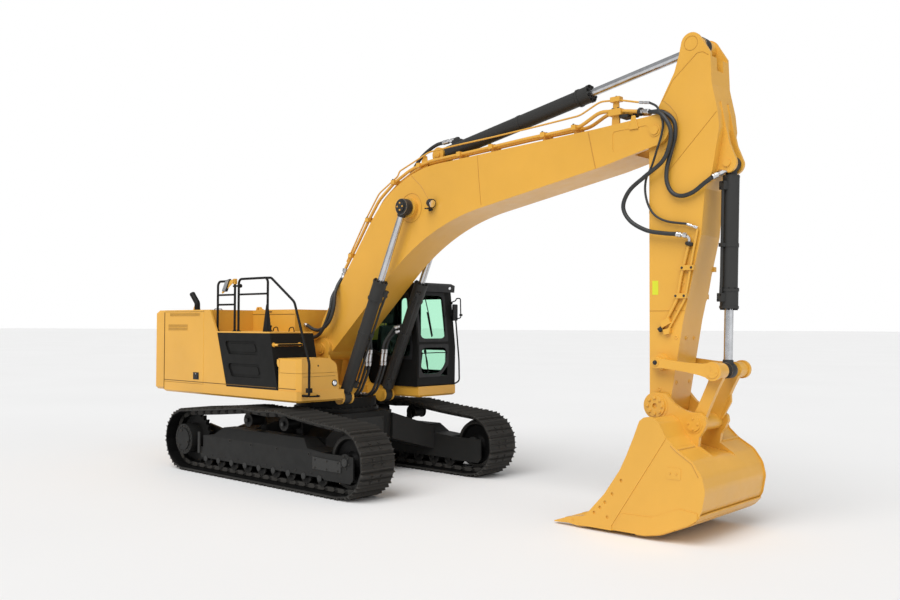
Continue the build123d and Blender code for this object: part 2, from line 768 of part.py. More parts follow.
with BuildPart() as service_door_middle:
    hinged_door(LEFT_DOOR_SPLIT, HOUSE_FRONT - WALL - CLEAR, 1, DOOR_LOW, DOOR_HIGH, 40)
save(service_door_middle, "service_door_middle")

TOOLBOX_REAR = 370
TOOLBOX_FRONT = 850
TOOLBOX_TOP = 1930
TOOLBOX_SEAM = 1712
TOOLBOX_RIGHT = -1480
TOOLBOX_LEFT = -680
TOOLBOX_WALL = 20
TOOLBOX_PLAN = [
    (TOOLBOX_REAR, TOOLBOX_RIGHT),
    (TOOLBOX_FRONT - 65, TOOLBOX_RIGHT),
    (TOOLBOX_FRONT, TOOLBOX_RIGHT + 65),
    (TOOLBOX_FRONT, TOOLBOX_LEFT),
    (TOOLBOX_REAR, TOOLBOX_LEFT),
]
TOOLBOX_SECTION = [
    (TOOLBOX_RIGHT, DECK_HIGH),
    (TOOLBOX_RIGHT, TOOLBOX_TOP),
    (TOOLBOX_LEFT - 190, TOOLBOX_TOP),
    (TOOLBOX_LEFT - 50, TOOLBOX_TOP - 90),
    (TOOLBOX_LEFT, DECK_HIGH),
]
TOOLBOX_CURVES = (0, 30, 120, 90, 0)
BRACKET_ENDS = ((TOOLBOX_RIGHT, TOOLBOX_RIGHT + TOOLBOX_WALL), (TOOLBOX_LEFT - 240, TOOLBOX_LEFT - 220))
LID_REAR = TOOLBOX_REAR + TOOLBOX_WALL + CLEAR
lid_hinge = (TOOLBOX_REAR - 18, TOOLBOX_TOP - 35)

with BuildPart() as toolbox:
    inside = (TOOLBOX_REAR + TOOLBOX_WALL, TOOLBOX_FRONT - TOOLBOX_WALL)
    cross(TOOLBOX_SECTION, TOOLBOX_REAR, TOOLBOX_FRONT, radius=TOOLBOX_CURVES)
    slab(TOOLBOX_PLAN, DECK_HIGH, TOOLBOX_TOP, mode=Mode.INTERSECT)
    block(
        (TOOLBOX_REAR + TOOLBOX_WALL, TOOLBOX_FRONT),
        (TOOLBOX_RIGHT, TOOLBOX_LEFT),
        (TOOLBOX_SEAM - CLEAR, TOOLBOX_TOP),
        mode=Mode.SUBTRACT,
    )
    block(
        (TOOLBOX_REAR, TOOLBOX_REAR + TOOLBOX_WALL),
        (TOOLBOX_RIGHT, TOOLBOX_LEFT),
        (TOOLBOX_TOP - 62, TOOLBOX_TOP),
        mode=Mode.SUBTRACT,
    )
    hollow_plan = [
        (inside[0], TOOLBOX_RIGHT + TOOLBOX_WALL),
        (inside[1] - 65, TOOLBOX_RIGHT + TOOLBOX_WALL),
        (inside[1], TOOLBOX_RIGHT + TOOLBOX_WALL + 65),
        (inside[1], TOOLBOX_LEFT - 60),
        (inside[0], TOOLBOX_LEFT - 60),
    ]
    slab(hollow_plan, DECK_HIGH + TOOLBOX_WALL, TOOLBOX_SEAM, mode=Mode.SUBTRACT)
    hinge_x, hinge_z = lid_hinge
    for low, high in BRACKET_ENDS:
        bracket = [
            (hinge_x, hinge_z - 95),
            (TOOLBOX_REAR + TOOLBOX_WALL, hinge_z - 95),
            (TOOLBOX_REAR + TOOLBOX_WALL, TOOLBOX_TOP - 62),
            (hinge_x + 24, hinge_z + 17),
            (hinge_x - 24, hinge_z + 17),
            (hinge_x - 24, hinge_z - 45),
        ]
        plate(bracket, low, high)
        disc(lid_hinge, HINGE_PIN + FIT, low, high, mode=Mode.SUBTRACT)
save(toolbox, "toolbox")

with BuildPart() as toolbox_lid:
    cross(TOOLBOX_SECTION, LID_REAR, TOOLBOX_FRONT, radius=TOOLBOX_CURVES)
    slab(TOOLBOX_PLAN, TOOLBOX_SEAM, TOOLBOX_TOP, mode=Mode.INTERSECT)
    with BuildSketch(cross_plane(LID_REAR)) as lid_hollow:
        with BuildLine():
            FilletPolyline(*TOOLBOX_SECTION, radius=TOOLBOX_CURVES, close=True)
        make_face()
        offset(amount=-TOOLBOX_WALL)
    extrude(lid_hollow.sketch, amount=TOOLBOX_FRONT - 65 - LID_REAR, mode=Mode.SUBTRACT)
    tongue = [
        (hinge_x - 16, hinge_z - 14),
        (LID_REAR + TOOLBOX_WALL, TOOLBOX_TOP - 50),
        (LID_REAR + TOOLBOX_WALL, TOOLBOX_TOP),
        (hinge_x - 16, TOOLBOX_TOP),
    ]
    plate(tongue, BRACKET_ENDS[0][1] + CLEAR, BRACKET_ENDS[1][0] - CLEAR)
    disc(lid_hinge, HINGE_PIN, BRACKET_ENDS[0][0], BRACKET_ENDS[1][1])
save(toolbox_lid, "toolbox_lid")

RAIL_TUBE = 19
with BuildPart() as handrails:
    rail_y = -1400
    # Two loops on the walkway, as rear x, front x, height and the heights of their bars
    for rear, front, top, bars in ((-1390, -905, 3155, (2770, 2930)), (-800, -25, 3180, (2930,))):
        loop = ((rear, WALKWAY_TOP), (rear, top), (front, top), (front, WALKWAY_TOP))
        tube([(x, rail_y, z) for x, z in loop], RAIL_TUBE, 80)
        for bar_z in bars:
            bar(Plane(origin=(SLEW_X + rear, rail_y, bar_z), z_dir=(1, 0, 0)), RAIL_TUBE - 3, front - rear)
    slope = [
        (-90, rail_y, 3180),
        (60, rail_y, 3175),
        (640, rail_y, 2790),
        (1005, rail_y, 1870),
        (1005, rail_y, 1380),
        (DECK_FRONT, rail_y, 1380),
    ]
    tube(slope, RAIL_TUBE, (60, 160, 160, 40))
    step_z = 2130
    lean = (TANK_FOOT - TANK_FRONT) / (WALKWAY - DECK_HIGH)
    step_x = TANK_FOOT + COVER_THICK - lean * (step_z - DECK_HIGH - RAIL_TUBE + 3) + FIT
    grip = [(step_x, -1450), (step_x + 80, -1450), (step_x + 80, -950), (step_x, -950)]
    tube([(x, y, step_z) for x, y in grip], RAIL_TUBE - 3, 40)
save(handrails, "handrails")

with BuildPart() as exhaust:
    pipe_y = -900
    tube([(-2790, pipe_y, HOOD_TOP), (-2790, pipe_y, 2830), (-2960, pipe_y, 3000)], 50, 90)
save(exhaust, "exhaust")

with BuildPart() as swing_motor:
    with BuildSketch(deck_plane(DECK_LOW + STEEL)) as gearcase:
        with Locations((-620, 0)):
            Circle(210)
    extrude(gearcase.sketch, amount=420)
    with BuildSketch(deck_plane(DECK_LOW + STEEL + 420)) as motor:
        with Locations((-620, 0)):
            Circle(140)
    extrude(motor.sketch, amount=380)
save(swing_motor, "swing_motor")

# Cab

CAB_CURVES = (20, 30, 300, 110, 60, 200)
CAB_LOW = DECK_HIGH
GLASS = 8
DOOR_GAP = 6
CAB_SIDE = [
    (CAB_REAR, CAB_LOW),
    (CAB_FRONT, CAB_LOW),
    (CAB_FRONT + 10, 2080),
    (1215, CAB_TOP),
    (CAB_REAR + 60, CAB_TOP),
    (CAB_REAR, 2900),
]
DOOR_OUTLINE = [
    (DOOR_HINGE_X, 1500),
    (1255, 1500),
    (1265, 2080),
    (1165, 2990),
    (DOOR_HINGE_X, 2990),
]
INNER_SIDE = [
    (CAB_REAR + CAB_WALL, CAB_LOW + 50),
    (CAB_FRONT - CAB_WALL, CAB_LOW + 50),
    (CAB_FRONT + 10 - CAB_WALL, 2080),
    (1215 - CAB_WALL - 10, CAB_TOP - 60),
    (CAB_REAR + 60 + CAB_WALL, CAB_TOP - 60),
    (CAB_REAR + CAB_WALL, 2900),
]


def grown(points, amount):
    """Flat sketch of an outline moved outwards, or inwards where amount is negative."""
    with BuildSketch() as face:
        with BuildLine():
            Polyline(*points, close=True)
        make_face()
        offset(amount=amount, kind=Kind.INTERSECTION)
    return face.sketch


DOOR_OPENING = [
    (DOOR_HINGE_X - DOOR_GAP, 1500 - DOOR_GAP),
    (1255 + DOOR_GAP, 1500 - DOOR_GAP),
    (1265 + DOOR_GAP, 2080),
    (1165 + DOOR_GAP, 2990 + DOOR_GAP),
    (DOOR_HINGE_X - DOOR_GAP, 2990 + DOOR_GAP),
]
FRONT_PANES = ((1610, 2110), (2190, 2975))
PANE_Y = (CAB_RIGHT + 45, CAB_LEFT - 190)
HINGE_X = DOOR_HINGE_X - 3
HINGE_Y = CAB_LEFT + 18
DOOR_HINGE_HEIGHTS = (1600, 2800)


def front_face(z):
    """How far forward the cab's front surface is at a height."""
    low, knee, top = CAB_SIDE[1:4]
    if z < knee[1]:
        return low[0] + (knee[0] - low[0]) * (z - low[1]) / (knee[1] - low[1])
    return knee[0] + (top[0] - knee[0]) * (z - knee[1]) / (top[1] - knee[1])


RIGHT_PANE = [(30, 2100), (560, 1900), (1190, 1900), (1205, 2080), (1110, 2960), (30, 2960)]
LEFT_PANE = [(10, 2100), (330, 2100), (330, 2960), (10, 2960)]
REAR_PANE_Z = (2150, 2950)
DOOR_PANES = (
    [(DOOR_HINGE_X + 70, 1640), (1175, 1640), (1188, 2050), (DOOR_HINGE_X + 70, 2050)],
    [(DOOR_HINGE_X + 70, 2110), (1185, 2110), (1100, 2925), (DOOR_HINGE_X + 70, 2925)],
)

with BuildPart() as cab_shell:
    plate(CAB_SIDE, CAB_RIGHT, CAB_LEFT, radius=CAB_CURVES)
    plate(INNER_SIDE, CAB_RIGHT + CAB_WALL, CAB_LEFT - CAB_WALL, radius=20, mode=Mode.SUBTRACT)
    plate(DOOR_OPENING, CAB_LEFT - CAB_WALL, CAB_LEFT, mode=Mode.SUBTRACT)
    plate(RIGHT_PANE, CAB_RIGHT, CAB_RIGHT + CAB_WALL, radius=40, mode=Mode.SUBTRACT)
    plate(LEFT_PANE, CAB_LEFT - CAB_WALL, CAB_LEFT, radius=40, mode=Mode.SUBTRACT)
    for low, high in FRONT_PANES:
        block((CAB_FRONT - 220, CAB_FRONT + 40), PANE_Y, (low, high), mode=Mode.SUBTRACT)
    block((CAB_REAR, CAB_REAR + CAB_WALL), PANE_Y, REAR_PANE_Z, mode=Mode.SUBTRACT)
    for height in DOOR_HINGE_HEIGHTS:
        block((HINGE_X - 60, HINGE_X), (CAB_LEFT, HINGE_Y + 12), (height, height + 40))
        with BuildSketch(deck_plane(height)) as knuckle:
            with Locations((HINGE_X, HINGE_Y)):
                Circle(12)
                Circle(6 + FIT, mode=Mode.SUBTRACT)
        extrude(knuckle.sketch, amount=40)
        with BuildSketch(deck_plane(height)) as bore:
            with Locations((HINGE_X, HINGE_Y)):
                Circle(6 + FIT)
        extrude(bore.sketch, amount=40, mode=Mode.SUBTRACT)
save(cab_shell, "cab_shell")

with BuildPart() as cab_glass:
    plate(RIGHT_PANE, CAB_RIGHT + 15, CAB_RIGHT + 15 + GLASS, radius=40)
    plate(LEFT_PANE, CAB_LEFT - 15 - GLASS, CAB_LEFT - 15, radius=40)
    for low, high in FRONT_PANES:
        front_low = front_face(low) - 15
        front_high = front_face(high) - 15
        pane = [(front_low, low), (front_high, high), (front_high - GLASS, high), (front_low - GLASS, low)]
        plate(pane, PANE_Y[0], PANE_Y[1])
    block((CAB_REAR + 20, CAB_REAR + 20 + GLASS), PANE_Y, REAR_PANE_Z)
save(cab_glass, "cab_glass")

with BuildPart() as cab_door:
    plate(DOOR_OUTLINE, CAB_LEFT - DOOR_THICK, CAB_LEFT, radius=(25, 60, 250, 110, 25))
    for pane in DOOR_PANES:
        plate(pane, CAB_LEFT - DOOR_THICK, CAB_LEFT, radius=35, mode=Mode.SUBTRACT)
    for height in DOOR_HINGE_HEIGHTS:
        block((HINGE_X, DOOR_HINGE_X + 50), (CAB_LEFT, HINGE_Y + 12), (height + 40 + FIT, height + 80))
        for radius, low, high in ((12, height + 40 + FIT, height + 80), (6, height + 4, height + 41)):
            with BuildSketch(deck_plane(low)) as knuckle:
                with Locations((HINGE_X, HINGE_Y)):
                    Circle(radius)
            extrude(knuckle.sketch, amount=high - low)
save(cab_door, "cab_door")

with BuildPart() as cab_door_glass:
    for pane in DOOR_PANES:
        plate(pane, CAB_LEFT - 15 - GLASS, CAB_LEFT - 15, radius=35)
save(cab_door_glass, "cab_door_glass")

FLOOR = CAB_LOW + 50
with BuildPart() as seat:
    middle = (CAB_RIGHT + CAB_LEFT) / 2
    block((180, 560), (middle - 150, middle + 150), (FLOOR, 1750))
    plate([(130, 1750), (680, 1750), (690, 1850), (150, 1860)], middle - 240, middle + 240, radius=30)
    plate([(130, 1850), (270, 1850), (190, 2450), (80, 2450)], middle - 230, middle + 230, radius=30)
    plate([(100, 2450), (185, 2450), (170, 2640), (100, 2640)], middle - 130, middle + 130, radius=25)
save(seat, "seat")

with BuildPart() as cab_console:
    for across in (-1, 1):
        low, high = sorted((middle + across * 270, middle + across * 390))
        plate([(150, FLOOR), (560, FLOOR), (640, 1960), (600, 2010), (150, 1980)], low, high, radius=20)
        bar(Plane(origin=(SLEW_X + 590, middle + across * 330, 2005)), 16, 170)
    block((1130, 1200), (middle - 200, middle + 200), (FLOOR, 1640))
save(cab_console, "cab_console")

with BuildPart() as cab_visor:
    visor = [
        (front_face(CAB_TOP - 115), CAB_TOP - 115),
        (CAB_FRONT + 20, CAB_TOP - 135),
        (CAB_FRONT + 30, CAB_TOP - 20),
        (CAB_FRONT - 60, CAB_TOP + 15),
        (CAB_FRONT - 260, CAB_TOP + 15),
        (CAB_FRONT - 260, CAB_TOP),
        (CAB_FRONT - 170, CAB_TOP - 60),
    ]
    plate(visor, CAB_RIGHT + 45, CAB_LEFT - 40)
    plate(CAB_SIDE, CAB_RIGHT, CAB_LEFT, radius=CAB_CURVES, mode=Mode.SUBTRACT)
save(cab_visor, "cab_visor")

# Boom

BOOM_SIDE = [
    (-125, 2130),
    (-20, 2510),
    (1690, 4780),
    (5300, 4940),
    (6150, 4995),
    (6150, 4620),
    (5400, 4450),
    (2380, 3919),
    (230, 2000),
]
BOOM_CURVES = (60, 500, 1900, 600, 0, 0, 300, 3600, 40)
SLOT_TOP = (5600, 4960)
SLOT_LOW = (5850, 4540)
BOSS_OUT = TOWER_OUT
T_PIN_OUT = EYE_OUT + 25

with BuildPart() as boom:
    plate(BOOM_SIDE, -BOOM_HALF_WIDTH, BOOM_HALF_WIDTH, radius=BOOM_CURVES)
    with BuildSketch(side_plane(BOOM_HALF_WIDTH - STEEL)) as hollow:
        with BuildLine():
            FilletPolyline(*BOOM_SIDE, radius=BOOM_CURVES, close=True)
        make_face()
        offset(amount=-STEEL)
        with BuildLine():
            Polyline(
                (SLOT_TOP[0] - STEEL, 6000),
                (SLOT_TOP[0] - STEEL, SLOT_TOP[1]),
                (SLOT_LOW[0] - STEEL, SLOT_LOW[1]),
                (SLOT_LOW[0] - STEEL, 3000),
                (7000, 3000),
                (7000, 6000),
                close=True,
            )
        make_face(mode=Mode.SUBTRACT)
    extrude(hollow.sketch, amount=2 * (BOOM_HALF_WIDTH - STEEL), mode=Mode.SUBTRACT)
    disc(BOOM_FOOT, 190, -TOWER_GAP + CLEAR, TOWER_GAP - CLEAR)
    disc(BOOM_CYLINDER_HEAD, 100, -BOOM_HALF_WIDTH, BOOM_HALF_WIDTH)
    disc(BOOM_TIP, 190, -BOOM_HALF_WIDTH, BOOM_HALF_WIDTH)
    slot_y = STICK_HALF_WIDTH + 10
    slot = [SLOT_TOP, (SLOT_TOP[0], 5200), (6500, 5200), (6500, 4300), (SLOT_LOW[0], 4300), SLOT_LOW]
    plate(slot, -slot_y, slot_y, mode=Mode.SUBTRACT)
    # Sunk field of each cheek, and the ring round the tip's pin
    field = [(5560, 4600), (5560, 4870), (6060, 4885), (6060, 4730), (5900, 4680)]
    twin_plates(field, BOOM_HALF_WIDTH - 6, BOOM_HALF_WIDTH, radius=40, mode=Mode.SUBTRACT)
    twin_discs(BOOM_TIP, 80, BOOM_HALF_WIDTH, BOOM_HALF_WIDTH + 8)
    disc(BOOM_FOOT, BOOM_PIN + FIT, -TOWER_GAP, TOWER_GAP, mode=Mode.SUBTRACT)
    twin_discs(BOOM_CYLINDER_HEAD, 150, BOOM_HALF_WIDTH, BOSS_OUT)
    disc(BOOM_TIP, BOOM_PIN, -BOOM_HALF_WIDTH - 20, BOOM_HALF_WIDTH + 20)
    ear = [(2180, 4770), (2640, 4780), (2630, 4815), (2495, 4945), (2400, 5050), (2310, 4945), (2190, 4850)]
    twin_plates(ear, 70, 112)
    twin_discs(STICK_CYLINDER_FOOT, EYE_RADIUS, 70, 112)
    disc(STICK_CYLINDER_FOOT, EYE_PIN, -128, 128)
save(boom, "boom")

# Cylinders


def barrel(foot, head, y, length, radius, eye, collar):
    """Cylinder barrel from its foot eye to the collar (radius, length) at its gland, bored for its rod."""
    half = EYE_WIDTH / 2
    neck = LUG_RADIUS + 20
    disc(foot, eye, y - half, y + half)
    bar(aimed_plane(foot, head, y, eye * 0.5), half, neck)
    bar(aimed_plane(foot, head, y, neck), radius, length - FLANGE - neck)
    bar(aimed_plane(foot, head, y, length - collar[1]), collar[0], collar[1])
    for along in (length - collar[1], length - FLANGE):
        bar(aimed_plane(foot, head, y, along), collar[0] + 7, FLANGE)
    bar(aimed_plane(foot, head, y, neck + STEEL), ROD_RADIUS + FIT, length, mode=Mode.SUBTRACT)
    disc(foot, EYE_PIN + FIT, y - half, y + half, mode=Mode.SUBTRACT)


def rod(foot, head, y, inner_end, eye, half):
    """Cylinder rod from inside its barrel to the eye at its head pin."""
    reach = math.dist(foot, head)
    bar(aimed_plane(foot, head, y, inner_end), ROD_RADIUS, reach - inner_end - eye * 0.5)
    disc(head, eye, y - half, y + half)


with BuildPart() as boom_cylinder_barrels:
    for across in (-CYLINDER_Y, CYLINDER_Y):
        pins = (BOOM_CYLINDER_FOOT, BOOM_CYLINDER_HEAD)
        barrel(*pins, across, BOOM_BARREL, BARREL_RADIUS, EYE_RADIUS, (109, 310))
save(boom_cylinder_barrels, "boom_cylinder_barrels")

with BuildPart() as boom_cylinder_rods:
    for across in (-CYLINDER_Y, CYLINDER_Y):
        rod(BOOM_CYLINDER_FOOT, BOOM_CYLINDER_HEAD, across, 1190, 120, EYE_WIDTH / 2)
    twin_discs(BOOM_CYLINDER_HEAD, EYE_PIN, BOSS_OUT + CLEAR, T_PIN_OUT)
    twin_discs(BOOM_CYLINDER_HEAD, 75, EYE_OUT, T_PIN_OUT)
save(boom_cylinder_rods, "boom_cylinder_rods")

with BuildPart() as stick_cylinder_barrel:
    barrel(STICK_CYLINDER_FOOT, STICK_NOSE, 0, STICK_BARREL, 105, EYE_RADIUS, (114, 200))
save(stick_cylinder_barrel, "stick_cylinder_barrel")

with BuildPart() as stick_cylinder_rod:
    rod(STICK_CYLINDER_FOOT, STICK_NOSE, 0, 1700, 118, EYE_WIDTH / 2)
    disc(STICK_NOSE, 48, -70, 70)
save(stick_cylinder_rod, "stick_cylinder_rod")

with BuildPart() as bucket_cylinder_barrel:
    barrel(BUCKET_CYLINDER_FOOT, LINK_PIN, 0, BUCKET_BARREL, 96, 92, (104, 230))
save(bucket_cylinder_barrel, "bucket_cylinder_barrel")

with BuildPart() as bucket_cylinder_rod:
    rod(BUCKET_CYLINDER_FOOT, LINK_PIN, 0, 620, 92, EYE_WIDTH / 2)
    disc(LINK_PIN, 45, -150, 150)
save(bucket_cylinder_rod, "bucket_cylinder_rod")

# Stick

STICK_SIDE = [
    (6710, 5860),
    (6600, 5900),
    (6478, 5840),
    (6440, 5670),
    (6380, 5480),
    (6170, 5100),
    (6040, 4600),
    (6040, 1560),
    (6310, 1500),
    (6490, 2520),
    (6720, 3510),
    (6770, 4050),
    (6860, 4240),
    (6950, 4750),
    (6930, 4950),
    (6860, 5270),
    (6845, 5640),
]
STICK_HEAD = 130

with BuildPart() as stick:
    plate(STICK_SIDE, -STICK_HALF_WIDTH, STICK_HALF_WIDTH)
    inner_y = STICK_HALF_WIDTH - STEEL
    cavity = [
        (6075, 1720),
        (6310, 1720),
        (6460, 2530),
        (6690, 3520),
        (6740, 4060),
        (6830, 4250),
        (6918, 4740),
        (6900, 4940),
        (6800, 5260),
        (6775, 5420),
        (6385, 5420),
        (6200, 5090),
        (6075, 4600),
    ]
    plate(cavity, -inner_y, inner_y, mode=Mode.SUBTRACT)
    disc(BOOM_TIP, 170, -STICK_HALF_WIDTH, STICK_HALF_WIDTH)
    disc(BOOM_TIP, BOOM_PIN + FIT, -STICK_HALF_WIDTH, STICK_HALF_WIDTH, mode=Mode.SUBTRACT)
    fork_y = STICK_HALF_WIDTH - 40
    twin_discs(STICK_NOSE, STICK_HEAD, fork_y, STICK_HALF_WIDTH)
    # Fork for the cylinder's eye, its rear wall drawn down to a saddle
    block((6200, 6790), (-fork_y, fork_y), (5450, 6100), mode=Mode.SUBTRACT)
    block((6790, 7000), (-fork_y, fork_y), (5600, 6100), mode=Mode.SUBTRACT)
    block((6790, 7000), (-EYE_WIDTH / 2 - 15, EYE_WIDTH / 2 + 15), (5450, 5600), mode=Mode.SUBTRACT)
    twin_discs(STICK_NOSE, 112, EYE_WIDTH / 2 + 10, STICK_HALF_WIDTH)
    lug = [
        (6800, 4200),
        (6890, 4275),
        (BUCKET_CYLINDER_FOOT[0], BUCKET_CYLINDER_FOOT[1] - 75),
        (BUCKET_CYLINDER_FOOT[0] + 109, BUCKET_CYLINDER_FOOT[1] + 36),
        (7020, 4560),
        (6985, 4720),
        (6915, 5080),
        (6860, 4940),
        (6780, 4200),
    ]
    twin_plates(lug, 75, 118, radius=(0, 0, 0, 0, 200, 200, 0, 0, 0))
    twin_discs(BUCKET_CYLINDER_FOOT, LUG_RADIUS, 75, 118)
    disc(BUCKET_CYLINDER_FOOT, EYE_PIN, -134, 134)
    disc(BUCKET_PIN, 148, -STICK_HALF_WIDTH, STICK_HALF_WIDTH)
    disc(BUCKET_PIN, BOOM_PIN + FIT, -STICK_HALF_WIDTH, STICK_HALF_WIDTH, mode=Mode.SUBTRACT)
    link_in = LINK_Y - LINK_PLATE / 2
    link_out = LINK_Y + LINK_PLATE / 2
    twin_discs(GUIDE_PIN, 100, STICK_HALF_WIDTH, link_in - FIT)
    twin_discs(GUIDE_PIN, EYE_PIN, link_in - FIT, link_out + 10)
save(stick, "stick")

# Bucket linkage

with BuildPart() as guide_links:
    arm = spindle(GUIDE_PIN, LINK_PIN, ((0, 64), (0.14, 52), (0.55, 54), (0.8, 68), (1, 96)))
    twin_plates(arm, link_in, link_out, radius=(0, 60, 200, 200, 0, 0, 200, 200, 60, 0))
    twin_discs(GUIDE_PIN, 70, link_in, link_out)
    twin_discs(LINK_PIN, 108, link_in, link_out)
    twin_discs(GUIDE_PIN, EYE_PIN + FIT, link_in, link_out, mode=Mode.SUBTRACT)
    twin_discs(LINK_PIN, EYE_PIN, 168, link_out + 12)
    twin_discs(LINK_PIN, 78, link_out, link_out + 8)
    twin_discs(LINK_PIN, 22, link_out - 5, link_out + 12, mode=Mode.SUBTRACT)
save(guide_links, "guide_links")

with BuildPart() as power_link:
    sides = spindle(LINK_PIN, BUCKET_LINK_PIN, ((0, 80), (0.3, 68), (0.75, 68), (1, 80)))
    twin_plates(sides, LINK_IN, LINK_OUT)
    twin_discs(LINK_PIN, 92, LINK_IN, link_in - 7)
    disc(BUCKET_LINK_PIN, 96, -BUCKET_EAR + CLEAR, BUCKET_EAR - CLEAR)
    twin_discs(LINK_PIN, EYE_PIN + FIT, LINK_IN, link_in, mode=Mode.SUBTRACT)
    # Lifting eye on the left arm
    lug = spindle(BUCKET_LINK_PIN, LINK_PIN, ((0.05, 0), (0.1, -92), (0.45, -112), (0.6, -62), (0.5, 0)))[:5]
    plate(lug, LINK_OUT - 50, LINK_OUT - 10, radius=(0, 30, 30, 20, 0))
    eye_x = BUCKET_LINK_PIN[0] + (LINK_PIN[0] - BUCKET_LINK_PIN[0]) * 0.33 + 45
    eye_z = BUCKET_LINK_PIN[1] + (LINK_PIN[1] - BUCKET_LINK_PIN[1]) * 0.33 - 20
    disc((eye_x, eye_z), 18, LINK_OUT - 50, LINK_OUT, mode=Mode.SUBTRACT)
save(power_link, "power_link")

# Bucket

BUCKET_SIDE = [
    (6230, 1350),
    (6290, 1395),
    (6390, 1410),
    (6480, 1350),
    (6570, 1180),
    (6690, 1070),
    (6890, 950),
    (7000, 800),
    (7040, 630),
    (7000, 420),
    (6940, 310),
    (6840, 240),
    (6490, 90),
    (6290, 50),
    (5820, 45),
    (5400, 40),
    (5400, 130),
    (5490, 170),
    (5760, 460),
    (5970, 760),
    (6060, 940),
    (6160, 1170),
]
BUCKET_CURVES = (60, 60, 60, 80, 60, 120, 150, 200, 200, 150, 100, 150, 150, 150, 0, 0)
FRONT_CURVES = (0, 60, 200, 300, 200, 200)
MOUTH_ENDS = [(4700, 40), (5200, 1900)]
MIDDLE_SIDE = [(6215, 1290), (6420, 1030), (6690, 985)] + BUCKET_SIDE[6:16] + [(5400, 130)]
MIDDLE_CURVES = (0, 40, 80) + BUCKET_CURVES[6:] + (0,)
CHEEK = 25
SIDE_PROUD = 15
FACING = 8
TEETH = 5
ADAPTER = [(5190, 48), (5400, 24), (5560, 40), (5560, 92), (5480, 148), (5400, 148), (5190, 104)]
LIP = [(5385, 40), (5860, 42), (5860, 92), (5440, 92)]
CUTTER = BUCKET_SIDE[:5] + BUCKET_SIDE[14:]
CUTTER_CURVES = (60, 60, 60, 80, 0, 0, 0) + FRONT_CURVES
CUTTER_HOLES = ((5990, 640), (5870, 470), (5770, 360), (5700, 290), (5620, 220), (5800, 190))
WEAR_PLATE = [(6000, 260), (6390, 270), (6730, 410), (6950, 385)] + BUCKET_SIDE[10:14] + [(5880, 55)]
EAR_SIDE = [
    (6160, 1650),
    (6290, 1640),
    (6390, 1530),
    (6500, 1470),
    (6610, 1440),
    (6720, 1440),
    (6800, 1380),
    (6810, 1310),
    (6770, 1230),
    (6720, 1160),
    (6705, 1050),
    (6870, 945),
    (6690, 970),
    (6425, 1015),
    (6225, 1270),
    (6020, 1420),
]
EAR_CURVES = (0, 40, 60, 100, 60, 40, 40, 30, 60, 40, 0, 0, 0, 0, 0, 0)


def skin_band(points, curves, mouth, mouth_curves, low, high):
    """Band of bucket skin: an outline drawn in a little, less a mouth drawn in by the skin as well."""
    with BuildSketch(side_plane(high)) as band:
        with BuildLine():
            FilletPolyline(*points, radius=curves, close=True)
        make_face()
        offset(amount=-SIDE_PROUD)
        with BuildSketch(mode=Mode.PRIVATE) as opening:
            with BuildLine():
                FilletPolyline(*mouth, radius=mouth_curves, close=True)
            make_face()
            offset(amount=-SIDE_PROUD - STEEL)
        add(opening.sketch, mode=Mode.SUBTRACT)
    extrude(band.sketch, amount=high - low)


with BuildPart() as bucket:
    cheek_in = BUCKET_HALF_WIDTH - CHEEK
    twin_plates(BUCKET_SIDE, cheek_in, BUCKET_HALF_WIDTH - FACING, radius=BUCKET_CURVES + FRONT_CURVES)
    mouth = BUCKET_SIDE[:16] + MOUTH_ENDS
    for low, high in ((-cheek_in, -BUCKET_EAR), (BUCKET_EAR, cheek_in)):
        skin_band(BUCKET_SIDE, BUCKET_CURVES + FRONT_CURVES, mouth, BUCKET_CURVES + (0, 0), low, high)
    mouth = MIDDLE_SIDE[:-1] + MOUTH_ENDS
    skin_band(MIDDLE_SIDE, MIDDLE_CURVES, mouth, MIDDLE_CURVES[:-1] + (0, 0), -BUCKET_EAR, BUCKET_EAR)
    # Facing plates of the sides: cutter, wear plate and a blank plate
    face_low = BUCKET_HALF_WIDTH - FACING
    twin_plates(CUTTER, face_low, BUCKET_HALF_WIDTH, radius=CUTTER_CURVES)
    for hole in CUTTER_HOLES:
        twin_discs(hole, 20, face_low - 6, BUCKET_HALF_WIDTH, mode=Mode.SUBTRACT)
    twin_plates(WEAR_PLATE, face_low, BUCKET_HALF_WIDTH)
    blank_plate = [(6570, 730), (6750, 730), (6750, 860), (6570, 860)]
    twin_plates(blank_plate, face_low, BUCKET_HALF_WIDTH - 3, radius=15)
    plate(LIP, -BUCKET_HALF_WIDTH, BUCKET_HALF_WIDTH)
    for index in range(TEETH):
        tooth_y = (BUCKET_HALF_WIDTH - 60) * (2 * index / (TEETH - 1) - 1)
        plate(ADAPTER, tooth_y - 48, tooth_y + 48)
        with BuildSketch(cross_plane(5230)) as tooth_root:
            with Locations((tooth_y, 76)):
                Rectangle(84, 74)
        with BuildSketch(cross_plane(5020)) as tooth_tip:
            with Locations((tooth_y, 32)):
                Rectangle(64, 14)
        loft([tooth_tip.sketch, tooth_root.sketch])
    twin_plates(EAR_SIDE, BUCKET_EAR, BUCKET_EAR + 60, radius=EAR_CURVES)
    twin_discs(BUCKET_PIN, 160, BUCKET_EAR, BUCKET_EAR + 66)
    twin_discs(BUCKET_PIN, 130, BUCKET_EAR + 66, BUCKET_EAR + 84)
    twin_discs(BUCKET_PIN, 32, BUCKET_EAR + 60, BUCKET_EAR + 84, mode=Mode.SUBTRACT)
    twin_discs(BUCKET_LINK_PIN, 112, BUCKET_EAR, BUCKET_EAR + 66)
    twin_discs(BUCKET_LINK_PIN, 88, BUCKET_EAR + 66, BUCKET_EAR + 78)
    disc(BUCKET_PIN, BOOM_PIN, -BUCKET_EAR - 10, BUCKET_EAR + 10)
save(bucket, "bucket")
